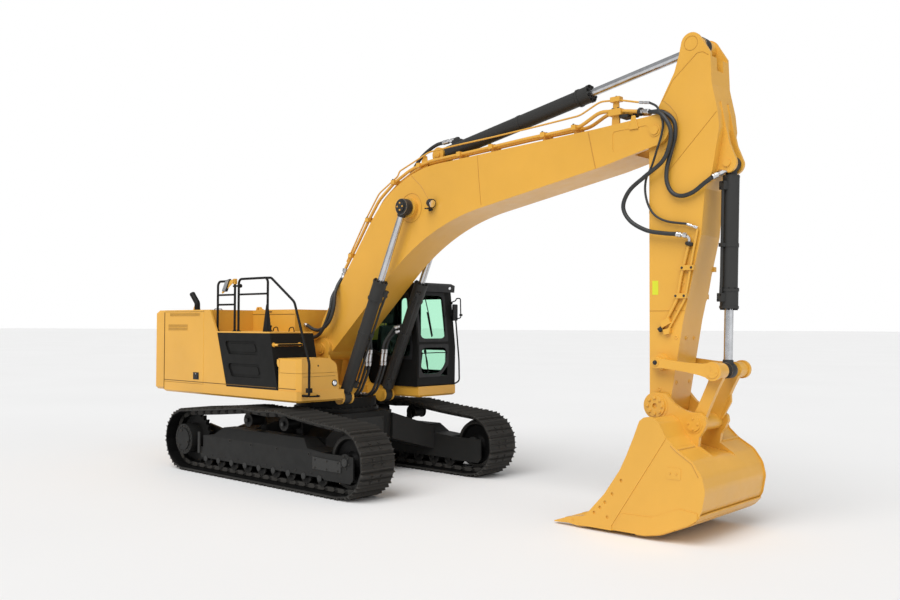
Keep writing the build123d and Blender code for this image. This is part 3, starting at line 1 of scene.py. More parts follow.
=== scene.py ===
import json
import math

import bmesh
import bpy
from mathutils import Matrix, Vector


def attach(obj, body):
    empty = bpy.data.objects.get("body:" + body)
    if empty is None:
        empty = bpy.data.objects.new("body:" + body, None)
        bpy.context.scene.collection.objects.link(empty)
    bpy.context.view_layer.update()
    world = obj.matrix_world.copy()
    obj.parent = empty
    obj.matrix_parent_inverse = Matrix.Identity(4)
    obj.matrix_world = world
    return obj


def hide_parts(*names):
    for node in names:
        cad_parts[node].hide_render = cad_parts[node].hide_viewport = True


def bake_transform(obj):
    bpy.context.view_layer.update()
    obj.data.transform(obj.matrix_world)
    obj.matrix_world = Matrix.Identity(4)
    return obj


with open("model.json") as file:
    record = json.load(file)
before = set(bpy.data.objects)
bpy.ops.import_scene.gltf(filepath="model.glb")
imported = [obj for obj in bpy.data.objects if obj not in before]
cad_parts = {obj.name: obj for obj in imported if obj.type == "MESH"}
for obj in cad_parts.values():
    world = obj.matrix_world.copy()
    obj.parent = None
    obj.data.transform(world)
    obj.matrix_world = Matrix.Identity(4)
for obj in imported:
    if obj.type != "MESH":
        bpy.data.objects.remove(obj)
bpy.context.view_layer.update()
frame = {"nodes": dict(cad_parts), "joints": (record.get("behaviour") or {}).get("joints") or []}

SLEW_X = next(joint["pos_m"][0] for joint in frame["joints"] if joint["name"] == "house_slew")
SIDES = ((-1, "right"), (1, "left"))

# Pins of the working gear and feet of its cylinders, (x, z) from the slew axis
BOOM_TIP = (6.15, 4.81)
BOOM_HEAD_PIN = (2.03, 4.21)
STICK_NOSE = (6.60, 5.79)
GUIDE_PIN = (6.21, 2.01)
LINK_PIN = (6.93, 1.93)
BUCKET_PIN = (6.16, 1.49)
BUCKET_LINK_PIN = (6.65, 1.31)
BOOM_CYLINDER_FOOT = (0.71, 1.30)
STICK_CYLINDER_FOOT = (2.40, 5.00)
BUCKET_CYLINDER_FOOT = (6.985, 4.34)
BOOM_CYLINDER_Y = 0.45
STICK_SEAMS = (
    [(6.92, 4.93), (6.30, 4.30)],
    [(6.24, 5.16), (6.33, 5.08), (6.41, 4.97), (6.44, 4.84), (6.39, 4.71)],
    [(6.22, 5.16), (6.36, 5.39), (6.68, 5.66), (6.75, 5.66), (6.82, 5.61)],
    [(6.045, 2.626), (6.51, 2.626)],
)

# Surfaces of the house and the tracks that pieces stand on
DECK_Z = 2.332
ROOF_Z = 2.69
WALL_Y = 1.495
RAIL_Y = -1.40
TAIL_RADIUS = 3.545
TOOLBOX_X = 0.848
CAB_LEFT_Y = 1.472
TRACK_Y = 1.37
FRAME_Y = 1.56
AXLE_X = 2.0
AXLE_Z = 0.517


def at(x, y, z):
    """Point in the row frame from one measured from the slew axis."""
    return Vector((SLEW_X + x, y, z))


def spots(points, side=1):
    """Points measured from the slew axis, mirrored where the side is -1."""
    return [at(x, side * y, z) for x, y, z in points]


def side_at(point, y):
    """Point of a side view, (x, z), at a y."""
    return at(point[0], y, point[1])


def lay(points, y):
    """Points of a side view, (x, z) pairs, at one y."""
    return [side_at(point, y) for point in points]


def arc(pin, y, radius, start, end, steps=40):
    """Points of a circle about a pin, in a side view."""
    points = []
    for step in range(steps + 1):
        angle = math.radians(start + (end - start) * step / steps)
        points.append(at(pin[0] + radius * math.cos(angle), y, pin[1] + radius * math.sin(angle)))
    return points


# Finishes: each is a slot of the record with the material that shows


class Nodes:
    """Short way to build one shader tree."""

    def __init__(self, name):
        self.material = bpy.data.materials.new(name)
        self.material.use_nodes = True
        self.tree = self.material.node_tree
        self.shader = self.tree.nodes["Principled BSDF"]
        self.coords = self.new("ShaderNodeTexCoord").outputs["Object"]

    def new(self, kind, **values):
        node = self.tree.nodes.new(kind)
        for key, value in values.items():
            setattr(node, key, value)
        return node

    def link(self, source, target):
        self.tree.links.new(source, target)

    def noise(self, scale, detail=4.0, stretch=(1, 1, 1), roughness=0.5):
        mapping = self.new("ShaderNodeMapping")
        mapping.inputs["Scale"].default_value = stretch
        self.link(self.coords, mapping.inputs["Vector"])
        node = self.new("ShaderNodeTexNoise")
        node.inputs["Scale"].default_value = scale
        node.inputs["Detail"].default_value = detail
        node.inputs["Roughness"].default_value = roughness
        self.link(mapping.outputs["Vector"], node.inputs["Vector"])
        return node.outputs["Fac"]

    def ramp(self, source, first, last, start=0.3, end=0.7):
        """Colour that goes from the first to the last between two values of the source."""
        node = self.new("ShaderNodeValToRGB")
        stops = zip(node.color_ramp.elements, (start, end), (first, last))
        for element, position, color in stops:
            element.position = position
            element.color = (*color, 1.0)
        self.link(source, node.inputs["Fac"])
        return node.outputs["Color"]

    def cover(self, amount, tone, color):
        """Lay a colour over a tone by an amount; the sockets are the mix node's colour ones."""
        node = self.new("ShaderNodeMix", data_type="RGBA")
        self.link(amount, node.inputs[0])
        self.link(tone, node.inputs[6])
        node.inputs[7].default_value = (*color, 1.0)
        return node.outputs[2]

    def vary(self, socket, source, first, last):
        """Let a noise move one of the shader's inputs between two values."""
        self.link(self.ramp(source, first, last), self.shader.inputs[socket])

    def bump(self, source, strength, distance):
        node = self.new("ShaderNodeBump")
        node.inputs["Strength"].default_value = strength
        node.inputs["Distance"].default_value = distance
        self.link(source, node.inputs["Height"])
        self.link(node.outputs["Normal"], self.shader.inputs["Normal"])

    def set(self, **values):
        for key, value in values.items():
            name = key.replace("_", " ").title().replace("Ior", "IOR")
            self.shader.inputs[name].default_value = value


def shade(color, factor):
    return tuple(min(1.0, channel * factor) for channel in color)


def paint(name, slot, color, roughness=0.4, coat=0.25, wear=0.0, dust=0.0, grain=900, specular=0.5):
    """Enamel on plate steel: slight tone changes, orange peel, and a little wear and dust."""
    nodes = Nodes(name)
    tone = nodes.ramp(nodes.noise(0.9, 5), shade(color, 0.93), shade(color, 1.05))
    if dust:
        patches = nodes.noise(3.0, 8, (1, 1, 0.6), 0.65)
        amount = nodes.ramp(patches, (0, 0, 0), (dust,) * 3, 0.45, 0.8)
        tone = nodes.cover(amount, tone, (0.32, 0.27, 0.2))
    if wear:
        edges = nodes.new("ShaderNodeNewGeometry").outputs["Pointiness"]
        amount = nodes.ramp(edges, (0, 0, 0), (wear,) * 3, 0.52, 0.62)
        tone = nodes.cover(amount, tone, (0.35, 0.33, 0.3))
    nodes.link(tone, nodes.shader.inputs["Base Color"])
    nodes.vary("Roughness", nodes.noise(6.0, 4), (roughness * 0.85,) * 3, (roughness * 1.15,) * 3)
    nodes.bump(nodes.noise(grain, 2), 0.04, 0.002)
    nodes.set(coat_weight=coat, coat_roughness=0.25, specular_ior_level=specular)
    return slot, nodes.material


def metal(name, slot, color, roughness, grain=400, metallic=1.0):
    """Bare or machined steel with fine lay marks."""
    nodes = Nodes(name)
    nodes.vary("Base Color", nodes.noise(12, 6), shade(color, 0.86), shade(color, 1.08))
    nodes.vary("Roughness", nodes.noise(grain, 3), (roughness * 0.8,) * 3, (roughness * 1.2,) * 3)
    nodes.bump(nodes.noise(grain, 3), 0.08, 0.001)
    nodes.set(metallic=metallic)
    return slot, nodes.material


def rubber(name, slot, color, roughness, grain=350):
    """Rubber, moulded plastic or fabric cover with a fine grain."""
    nodes = Nodes(name)
    nodes.vary("Base Color", nodes.noise(8, 5), shade(color, 0.8), shade(color, 1.2))
    nodes.vary("Roughness", nodes.noise(20, 3), (roughness * 0.9,) * 3, (roughness * 1.1,) * 3)
    nodes.bump(nodes.noise(grain, 3), 0.12, 0.002)
    return slot, nodes.material


def window(name, slot):
    """Tinted safety glass."""
    nodes = Nodes(name)
    nodes.vary("Base Color", nodes.noise(0.8, 2), (0.66, 0.93, 0.78), (0.70, 0.95, 0.81))
    nodes.set(roughness=0.0, transmission_weight=1.0, ior=1.02)
    return slot, nodes.material


YELLOW = paint("yellow_enamel", "yellow_paint", (0.70, 0.365, 0.045), 0.38)
# Darker yellow of the weld seams: painted shade along the beads
SEAM_SHADE = paint("seam_painted_shade", "yellow_paint", (0.48, 0.225, 0.02), 0.5, 0.1)
LIME = paint("lime_plate", "yellow_paint", (0.62, 0.66, 0.02), 0.45, 0.2)
BLACK = paint("black_enamel", "dark_paint", (0.030, 0.030, 0.029), 0.5, 0.0, dust=0.01, specular=0.25)
SATIN = paint("satin_black", "dark_paint", (0.006, 0.006, 0.006), 0.55, 0.0, specular=0.2)
# Black of the cab side's groove strip: painted shade
GROOVE_SHADE = paint("groove_painted_shade", "dark_paint", (0.005, 0.005, 0.005), 0.6, 0.0, specular=0.2)
# Yellow paint as it looks in shade: painted shade for vent fields, grooves and seams
SHADOW = paint("yellow_painted_shade", "yellow_paint", (0.17, 0.085, 0.01), 0.7, 0.0)
TRACK = paint("track_steel", "track_steel", (0.0045, 0.0045, 0.0045), 0.5, 0.0, wear=0.12, grain=300,
              specular=0.12)
PANEL = paint("panel_grey", "dark_paint", (0.009, 0.009, 0.0085), 0.5, 0.0, specular=0.15)
STEEL = metal("machined_steel", "machined_steel", (0.66, 0.66, 0.67), 0.3)
DARK_STEEL = metal("blackened_steel", "machined_steel", (0.06, 0.06, 0.065), 0.42, metallic=0.8)
CHROME = metal("hard_chrome", "rod_chrome", (0.60, 0.61, 0.63), 0.24, 600)
IRON = metal("grey_casting", "engine_iron", (0.10, 0.10, 0.10), 0.6, 120, 0.4)
HOSE = rubber("hose_rubber", "dark_paint", (0.022, 0.024, 0.025), 0.5)
PLASTIC = rubber("moulded_plastic", "dark_paint", (0.011, 0.011, 0.012), 0.6)
FABRIC = rubber("seat_cloth", "seat_fabric", (0.024, 0.024, 0.028), 0.9, 900)
GLASS = window("cab_glazing", "glass")
LENS = metal("lamp_glass", "glass", (0.85, 0.86, 0.88), 0.12)
MIRROR = metal("mirror_glass", "glass", (0.75, 0.78, 0.80), 0.05)
FRAME = paint("frame_black", "dark_paint", (0.013, 0.013, 0.0125), 0.5, 0.0, dust=0.01, specular=0.2)
SEAT_PLASTIC = ("seat_fabric", PLASTIC[1])
CAB_PLASTIC = ("interior_plastic", PLASTIC[1])
SCREEN = ("interior_plastic", SATIN[1])

NODE_FINISHES = (
    (FRAME, "carbody track_frame_left track_frame_right final_drive_left final_drive_right"),
    (SATIN, "slew_bearing handrails exhaust"),
    (TRACK, "track_left track_right idler_left idler_right track_rollers carrier_rollers"),
    (YELLOW, "platform counterweight hood_frame engine_hood tanks toolbox toolbox_lid"),
    (YELLOW, "service_door_right service_door_rear service_door_middle"),
    (YELLOW, "boom stick guide_links power_link bucket"),
    (IRON, "engine swing_motor"),
    (PANEL, "side_panel cab_shell cab_door"),
    (GLASS, "cab_glass cab_door_glass"),
    (FABRIC, "seat"),
    (PLASTIC, "cab_console cab_visor"),
    (BLACK, "boom_cylinder_barrels stick_cylinder_barrel bucket_cylinder_barrel"),
    (CHROME, "boom_cylinder_rods stick_cylinder_rod bucket_cylinder_rod"),
)
for finish, names in NODE_FINISHES:
    for name in names.split():
        frame["nodes"][name].data.materials.clear()
        frame["nodes"][name].data.materials.append(finish[1])


# Shapes


def shapes(count):
    """That many empty shapes."""
    return [bmesh.new() for _ in range(count)]


def bridge(shape, rings):
    """Faces between neighbouring rings of points."""
    for first, second in zip(rings, rings[1:]):
        for index in range(len(first)):
            after = (index + 1) % len(first)
            shape.faces.new((first[index], first[after], second[after], second[index]))


def skin(shape, rings):
    """Faces between neighbouring rings of points, and a cap at each end."""
    bridge(shape, rings)
    shape.faces.new(list(reversed(rings[0])))
    shape.faces.new(rings[-1])


def ring(shape, centre, side, up, radius, sides):
    points = []
    for index in range(sides):
        angle = math.tau * index / sides
        points.append(shape.verts.new(centre + (side * math.cos(angle) + up * math.sin(angle)) * radius))
    return points


def square_to(axis):
    """An axis at length 1, and two directions square to it and each other."""
    axis = Vector(axis).normalized()
    side = axis.orthogonal().normalized()
    return axis, side, axis.cross(side)


def rings_about(shape, base, axis, profile, sides):
    """Rings of points about an axis, from (distance along it, radius) pairs."""
    axis, side, up = square_to(axis)
    return [ring(shape, base + axis * along, side, up, radius, sides) for along, radius in profile]


def hoop(shape, base, axis, profile, sides):
    """Turned ring that stays open in the middle, so a rod can pass."""
    rings = rings_about(shape, base, axis, profile, sides)
    bridge(shape, rings + rings[:1])


def turned(shape, base, axis, profile, sides):
    """Turned solid about an axis, through (distance along it, radius) pairs."""
    skin(shape, rings_about(shape, base, axis, profile, sides))


def tube(shape, points, radius, sides=10):
    """Round tube along a path."""
    rings = []
    side = (points[1] - points[0]).normalized().orthogonal()
    for index, point in enumerate(points):
        direction = points[min(index + 1, len(points) - 1)] - points[max(index - 1, 0)]
        direction.normalize()
        side = (side - direction * side.dot(direction)).normalized()
        rings.append(ring(shape, point, side, direction.cross(side), radius, sides))
    skin(shape, rings)


def flowing(points, steps=7):
    """Smooth path through points."""
    path = []
    padded = [points[0] * 2 - points[1]] + points + [points[-1] * 2 - points[-2]]
    for a, b, c, d in zip(padded, padded[1:], padded[2:], padded[3:]):
        for step in range(steps):
            t = step / steps
            second = a * 2 - b * 5 + c * 4 - d
            third = b * 3 - a - c * 3 + d
            path.append((b * 2 + (c - a) * t + second * t * t + third * t**3) / 2)
    return path + [points[-1]]


def round_corner(before, corner, after, radius, share, steps):
    """Curve in place of a corner, which takes at most a share of each run beside it."""
    back = before - corner
    on = after - corner
    reach = min(radius, back.length * share, on.length * share)
    start = corner + back.normalized() * reach
    end = corner + on.normalized() * reach
    places = [step / steps for step in range(steps + 1)]
    return [start * (1 - t) ** 2 + corner * 2 * t * (1 - t) + end * t * t for t in places]


def bent(points, radius=0.09):
    """Straight runs with rounded corners."""
    path = [points[0]]
    for before, corner, after in zip(points, points[1:], points[2:]):
        path += round_corner(before, corner, after, radius, 0.45, 4)
    return path + [points[-1]]


def prism(shape, corners, thickness):
    """Flat plate from its corners and a thickness vector."""
    near = [shape.verts.new(corner) for corner in corners]
    far = [shape.verts.new(corner + Vector(thickness)) for corner in corners]
    skin(shape, [near, far])


def slab(shape, corner, along, across, thickness):
    """Flat plate with four corners, from one corner and its two edges."""
    prism(shape, [corner, corner + along, corner + along + across, corner + across], thickness)


def side_plate(shape, outline, y, thickness):
    """Plate with a side view through (x, z) points, which starts at y."""
    prism(shape, lay(outline, y), (0, thickness, 0))


def box(shape, x, y, z):
    """Block between pairs of x, y and z, with the y's in either order."""
    low, high = sorted(y)
    side_plate(shape, [(x[0], z[0]), (x[1], z[0]), (x[1], z[1]), (x[0], z[1])], low, high - low)


def bolt(shape, base, axis, size):
    """Hexagon bolt head on its washer."""
    turned(shape, base, axis, ((0, size * 1.25), (size * 0.22, size * 1.25), (size * 0.26, size * 1.05)), 14)
    turned(shape, base, axis, ((size * 0.2, size), (size * 0.95, size), (size * 1.1, size * 0.8)), 6)


def bolt_circle(shape, centre, axis, radius, count, size, phase=0.0):
    axis, side, up = square_to(axis)
    for index in range(count):
        angle = math.tau * (index + phase) / count
        bolt(shape, centre + (side * math.cos(angle) + up * math.sin(angle)) * radius, axis, size)


def weld(shape, points, radius):
    """Low bead along straight or curved runs."""
    tube(shape, points, radius, 6)


def boss(shape, base, axis, radius):
    """Welded ring with a threaded hole."""
    profile = ((0, radius), (0.006, radius), (0.008, radius * 0.9), (0.008, radius * 0.5), (0.001, radius * 0.45))
    turned(shape, base, axis, profile, 18)


def hose(shape, points, radius):
    """Rubber hose through points; its steel ends go in by fitting()."""
    tube(shape, flowing(points), radius, 12)


def fitting(shape, start, end, radius):
    """Crimped steel sleeve and hexagon nut from a hose's end to what it screws into."""
    start = at(*start)
    run = at(*end) - start
    length = run.length
    sleeve = ((0, 1.05), (0.06, 1.28), (0.2, 1.28), (0.23, 1.18), (0.3, 1.28), (0.5, 1.28), (0.54, 0.75),
              (0.68, 0.75))
    turned(shape, start, run, [(length * along, radius * wide) for along, wide in sleeve], 16)
    turned(shape, start + run * 0.66, run, ((0, radius * 1.25), (length * 0.34, radius * 1.25)), 6)


def piece(name, shape, body, finish, bevel=0.0, segments=2):
    """Finish a shape as one named piece that rides on a body, or on none yet."""
    slot, material = finish
    mesh = bpy.data.meshes.new(name)
    bmesh.ops.recalc_face_normals(shape, faces=shape.faces)
    shape.to_mesh(mesh)
    shape.free()
    mesh.shade_smooth()
    mesh.set_sharp_from_angle(angle=math.radians(38))
    mesh.materials.append(material)
    thing = bpy.data.objects.new(name, mesh)
    bpy.context.scene.collection.objects.link(thing)
    if bevel:
        edge = thing.modifiers.new("edges", "BEVEL")
        edge.width = bevel
        edge.segments = segments
        edge.limit_method = "ANGLE"
        edge.harden_normals = True
    if body:
        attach(thing, body)
    return thing


# Boom, stick and bucket


def clamp(shape, bolts, x, z, low, y):
    """Two-part pipe clamp on a foot plate, held by bolts."""
    box(shape, (x - 0.035, x + 0.035), y, (z - 0.034, z + 0.034))
    middle = (y[0] + y[1]) / 2
    box(shape, (x - 0.02, x + 0.02), (middle - 0.06, middle + 0.06), (low - 0.02, z - 0.03))
    for across in (y[0] + 0.012, middle, y[1] - 0.012):
        bolt(bolts, at(x, across, z + 0.034), (0, 0, 1), 0.012)


def build_boom_pipes():
    """Steel pipes along the boom's top, their clamps and stands, and the fittings at both ends."""
    pipes, clamps, bolts, flanges, steel = shapes(5)
    near_y, far_y = -0.225, -0.115
    foot = [(0.46, 3.35), (0.80, 3.80), (1.02, 4.11), (1.26, 4.41), (1.60, 4.65), (1.95, 4.81), (2.33, 4.89)]
    along = [(2.95, 4.92), (3.55, 4.95), (4.19, 4.985), (4.70, 5.0)]
    near = foot + along + [(5.02, 5.02), (5.33, 5.17), (5.73, 5.12), (5.90, 5.085)]
    far = foot + along + [(5.11, 5.02), (5.40, 5.16), (5.66, 5.125), (5.78, 5.10)]
    short = foot + along[:1]
    for route, y in ((near, near_y), (far, far_y), (short, -far_y), (short, -near_y)):
        tube(pipes, bent(lay(route, y)), 0.024, 14)
    thin = [(0.50, 3.47), (0.96, 4.14), (1.25, 4.51), (1.67, 4.74), (1.70, 4.81), (2.33, 5.03), (2.81, 5.06)]
    thin += [(3.59, 5.09), (4.19, 5.12), (4.70, 5.15), (5.02, 5.17), (5.33, 5.30), (5.60, 5.28), (5.90, 5.20)]
    tube(pipes, bent(lay(thin, near_y), 0.06), 0.012)
    piece("boom_pipes", pipes, "boom", YELLOW)

    for x, z, low in ((0.62, 3.56, 3.30), (1.02, 4.11, 3.86), (1.60, 4.65, 4.47), (2.14, 4.85, 4.72)):
        clamp(clamps, bolts, x, z, low, (-0.28, 0.28))
    for x, z, low in ((2.95, 4.92, 4.83), (3.55, 4.95, 4.86), (4.45, 4.993, 4.9), (4.95, 5.02, 4.92)):
        clamp(clamps, bolts, x, z, low, (-0.28, -0.06))
    # Stand under the pipes' forward ends, with the valve block behind the flanges
    side_plate(clamps, [(5.50, 4.94), (5.62, 4.94), (5.60, 5.31), (5.53, 5.31)], -0.235, 0.03)
    box(clamps, (5.48, 5.66), (-0.28, -0.06), (5.08, 5.165))
    box(clamps, (5.50, 5.64), (-0.27, -0.18), (5.255, 5.32))
    side_plate(clamps, [(5.80, 4.86), (5.93, 4.86), (5.885, 5.03), (5.835, 5.03)], -0.312, 0.014)
    piece("boom_clamps", clamps, "boom", YELLOW, 0.005)
    for x in (5.53, 5.61):
        for y in (-0.25, -0.09):
            bolt(bolts, at(x, y, 5.165), (0, 0, 1), 0.014)
    bolt(bolts, at(5.57, near_y, 5.32), (0, 0, 1), 0.014)
    piece("boom_pipe_bolts", bolts, "boom", DARK_STEEL)

    for end, y in ((near[-1], near_y), (far[-1], far_y)):
        profile = ((-0.02, 0.034), (0.0, 0.052), (0.035, 0.052), (0.045, 0.03))
        turned(flanges, side_at(end, y), (0.98, 0, -0.2), profile, 16)
    box(flanges, (5.63, 5.75), (-0.26, -0.09), (5.04, 5.08))
    piece("boom_pipe_flanges", flanges, "boom", BLACK, 0.004)

    fitting(steel, (6.08, -0.30, 5.045), (5.93, -0.24, 5.08), 0.026)
    fitting(steel, (6.04, -0.20, 5.05), (5.80, -0.12, 5.095), 0.026)
    fitting(steel, (6.06, -0.26, 5.165), (5.90, near_y, 5.20), 0.014)
    fitting(steel, (0.44, -0.25, 3.20), (0.46, near_y, 3.36), 0.03)
    for y in (far_y, -far_y, -near_y):
        fitting(steel, (0.42, y, 3.20), (0.46, y, 3.36), 0.03)
    piece("boom_hose_fittings", steel, "boom", STEEL)


def build_knee_hose():
    """Hose from the stick cylinder's foot port back over the boom's knee."""
    line, steel, block, gusset = shapes(4)
    box(block, (2.62, 2.80), (-0.05, 0.05), (5.115, 5.20))
    turned(block, at(2.71, 0, 5.15), (-0.25, -0.1, 1), ((0, 0.045), (0.075, 0.045), (0.09, 0.03)), 14)
    piece("stick_cylinder_port", block, "stick_cylinder_barrel", BLACK, 0.006)
    over = [(2.43, 5.185), (2.30, 5.17), (2.12, 5.10), (1.95, 4.99), (1.80, 4.83)]
    down = [(1.62, 4.65), (1.42, 4.46), (1.24, 4.29), (1.10, 4.12)]
    hose(line, lay(over, -0.03) + lay(down, 0.0), 0.027)
    fitting(steel, (2.43, -0.03, 5.185), (2.66, -0.02, 5.20), 0.027)
    fitting(steel, (1.10, 0.0, 4.12), (1.02, 0.0, 4.01), 0.027)
    piece("knee_hose", line, "boom", HOSE)
    piece("knee_hose_fittings", steel, "boom", STEEL)
    side_plate(gusset, [(2.13, 4.78), (2.28, 4.79), (2.26, 4.98), (2.20, 5.0), (2.15, 4.93)], -0.20, 0.012)
    piece("boom_ear_gusset", gusset, "boom", YELLOW, 0.004)


def build_boom_details():
    """Weld seams in a darker yellow that is painted shade, work lamps and pin bolts of the boom."""
    seams, lamps, glass, brackets, caps = shapes(5)
    for side in (-1, 1):
        y = side * 0.301
        weld(seams, lay([(3.34, 4.845), (3.37, 4.50), (3.41, 4.135)], y), 0.004)
        weld(seams, lay([(2.03, 4.70), (2.24, 4.52), (2.40, 4.30), (2.46, 4.10)], y), 0.004)
        weld(seams, lay([(5.20, 4.915), (5.27, 4.60), (5.31, 4.44)], y), 0.006)
        weld(seams, arc(BOOM_HEAD_PIN, y, 0.22, 0, 360), 0.004)

        centre = at(2.50, side * 0.385, 4.24)
        aim = Vector((0.93, side * 0.1, -0.34))
        body = ((0, 0.03), (0.03, 0.055), (0.09, 0.07), (0.105, 0.07), (0.105, 0.058))
        turned(lamps, centre - aim * 0.05, aim, body, 20)
        turned(glass, centre + aim * 0.045, aim, ((0, 0.058), (0.012, 0.056), (0.018, 0.04)), 20)
        box(brackets, (2.40, 2.48), (side * 0.30, side * 0.40), (4.155, 4.17))
        box(brackets, (2.40, 2.48), (side * 0.30, side * 0.312), (4.13, 4.27))

        bolt_circle(caps, side_at(BOOM_TIP, side * 0.308), (0, side, 0), 0.055, 4, 0.009, 0.5)
        bolt_circle(caps, side_at(BOOM_HEAD_PIN, side * 0.54), (0, side, 0), 0.052, 4, 0.011, 0.5)
    # The seams' darker yellow is painted shade
    piece("boom_seams", seams, "boom", SEAM_SHADE)
    piece("boom_lamps", lamps, "boom", BLACK)
    piece("boom_lamp_glass", glass, "boom", LENS)
    piece("boom_lamp_brackets", brackets, "boom", BLACK, 0.004)
    piece("boom_pin_bolts", caps, "boom", YELLOW)


def build_stick_details():
    """Pipes, seams in a darker yellow that is painted shade, bosses and bolts of the stick."""
    pipes, feet, bolts, caps, seams, steel, blank = shapes(7)
    thick = [(6.575, 3.40), (6.47, 3.01), (6.425, 2.76), (6.283, 2.517), (6.215, 2.415)]
    thin = [(6.69, 3.58), (6.63, 3.31), (6.57, 2.98), (6.525, 2.76), (6.328, 2.435), (6.30, 2.39)]
    for side in (-1, 1):
        y = side * 0.268
        tube(pipes, bent(lay(thick, y), 0.07), 0.021, 14)
        tube(pipes, bent(lay(thin, y), 0.07), 0.015, 12)
        low, high = sorted((side * 0.24, side * 0.296))
        for x, z, wide in ((6.57, 3.13, 0.10), (6.48, 2.80, 0.09)):
            box(feet, (x - wide, x + wide * 0.8), (low, high), (z - 0.03, z + 0.03))
            for step in (-0.7, 0.5):
                bolt(bolts, at(x + wide * step, side * 0.296, z), (0, side, 0), 0.012)
        # Block that closes the thick pipe, and the two that hold the thin pipe's end
        for shape, outline in (
            (caps, [(6.17, 2.41), (6.20, 2.37), (6.245, 2.40), (6.215, 2.44)]),
            (feet, [(6.205, 2.49), (6.235, 2.42), (6.35, 2.48), (6.32, 2.55)]),
            (feet, [(6.245, 2.40), (6.26, 2.34), (6.33, 2.35), (6.34, 2.42)]),
        ):
            side_plate(shape, outline, low, high - low)
        flange = ((0, 0.03), (0.012, 0.05), (0.04, 0.05), (0.05, 0.032))
        turned(caps, at(6.578, y, 3.385), (0.24, 0, 0.97), flange, 16)
        elbow = [(6.582, 0.268, 3.43), (6.587, 0.275, 3.47), (6.565, 0.30, 3.505)]
        tube(steel, flowing(spots(elbow, side)), 0.019, 12)
        fitting(steel, (6.44, side * 0.325, 3.53), (6.565, side * 0.30, 3.505), 0.026)
        fitting(steel, (6.56, side * 0.285, 3.645), (6.69, y, 3.59), 0.014)

        y = side * 0.241
        for line in STICK_SEAMS:
            weld(seams, lay(line, y), 0.0035)
        weld(seams, arc(STICK_NOSE, y, 0.085, 0, 360), 0.003)
        weld(seams, arc(BOOM_TIP, y, 0.26, -70, 100), 0.0035)
        for x, z in ((6.395, 2.31), (6.172, 1.686), (6.48, 2.95)):
            boss(feet, at(x, side * 0.24, z), (0, side, 0), 0.024)
        bolt(bolts, side_at(GUIDE_PIN, side * 0.415), (0, side, 0), 0.022)
    for y, z in ((-0.10, 2.30), (0.10, 2.30), (-0.16, 1.77), (0.16, 1.77), (-0.12, 3.35), (0.12, 3.35)):
        boss(feet, at(6.398 + (z - 2.0) * 0.18, y, z), (0.985, 0, -0.174), 0.026)
    piece("stick_pipes", pipes, "stick", YELLOW)
    piece("stick_clamps", feet, "stick", YELLOW, 0.004)
    piece("stick_bolts", bolts, "stick", DARK_STEEL)
    piece("stick_pipe_ends", caps, "stick", BLACK, 0.004)
    piece("stick_hose_fittings", steel, "stick", STEEL)
    # The seams' darker yellow is painted shade
    piece("stick_seams", seams, "stick", SEAM_SHADE)
    box(blank, (6.08, 6.16), (-0.2425, -0.24), (2.82, 2.99))
    piece("stick_blank_plate", blank, "stick", LIME)


# Name, radius, where its bend ends and route of each hose from the boom to the stick, on the left
CROSSING_HOSES = (
    ("thick", 0.026, (6.40, 3.60),
     [(6.08, 0.30, 5.045), (6.25, 0.345, 4.99), (6.36, 0.36, 4.86), (6.40, 0.36, 4.73), (6.37, 0.36, 4.56),
      (6.28, 0.36, 4.40), (6.05, 0.36, 4.25), (5.83, 0.35, 4.10), (5.735, 0.34, 3.91), (5.83, 0.335, 3.73),
      (6.05, 0.33, 3.60), (6.28, 0.33, 3.55), (6.44, 0.325, 3.53)]),
    ("thin", 0.014, (6.40, 3.70),
     [(6.06, 0.26, 5.165), (6.17, 0.30, 5.10), (6.23, 0.33, 5.02), (6.28, 0.335, 4.87), (6.26, 0.34, 4.72),
      (6.20, 0.335, 4.56), (6.11, 0.30, 4.38), (6.03, 0.29, 4.24), (6.01, 0.285, 4.08), (6.05, 0.28, 3.91),
      (6.14, 0.28, 3.78), (6.30, 0.28, 3.695), (6.56, 0.285, 3.645)]),
    ("foot", 0.026, (6.70, 4.30),
     [(6.04, 0.26, 5.05), (6.24, 0.29, 5.02), (6.40, 0.295, 4.89), (6.42, 0.295, 4.71), (6.36, 0.295, 4.50),
      (6.31, 0.295, 4.33), (6.31, 0.295, 4.16), (6.38, 0.295, 4.03), (6.50, 0.295, 3.98), (6.65, 0.30, 4.01),
      (6.80, 0.31, 4.10), (6.89, 0.30, 4.16)]),
)


def build_crossing_hoses():
    """Hoses held at both ends, from the boom to the stick; the thin one is on the right."""
    for side, letter in SIDES:
        for name, radius, end, route in CROSSING_HOSES:
            if side > 0 and name == "thin":
                continue
            shape = bmesh.new()
            hose(shape, spots(route, side), radius)
            line = piece(f"stick_hose_{name}_{letter}", shape, None, HOSE)
            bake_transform(line)
    steel = bmesh.new()
    for side in (-1, 1):
        fitting(steel, (6.89, side * 0.30, 4.16), (6.97, side * 0.20, 4.225), 0.026)
        elbow = [(6.96, 0.21, 4.22), (6.985, 0.16, 4.235), (6.975, 0.10, 4.235)]
        tube(steel, flowing(spots(elbow, side)), 0.017)
    piece("bucket_cylinder_fittings", steel, "stick", STEEL)


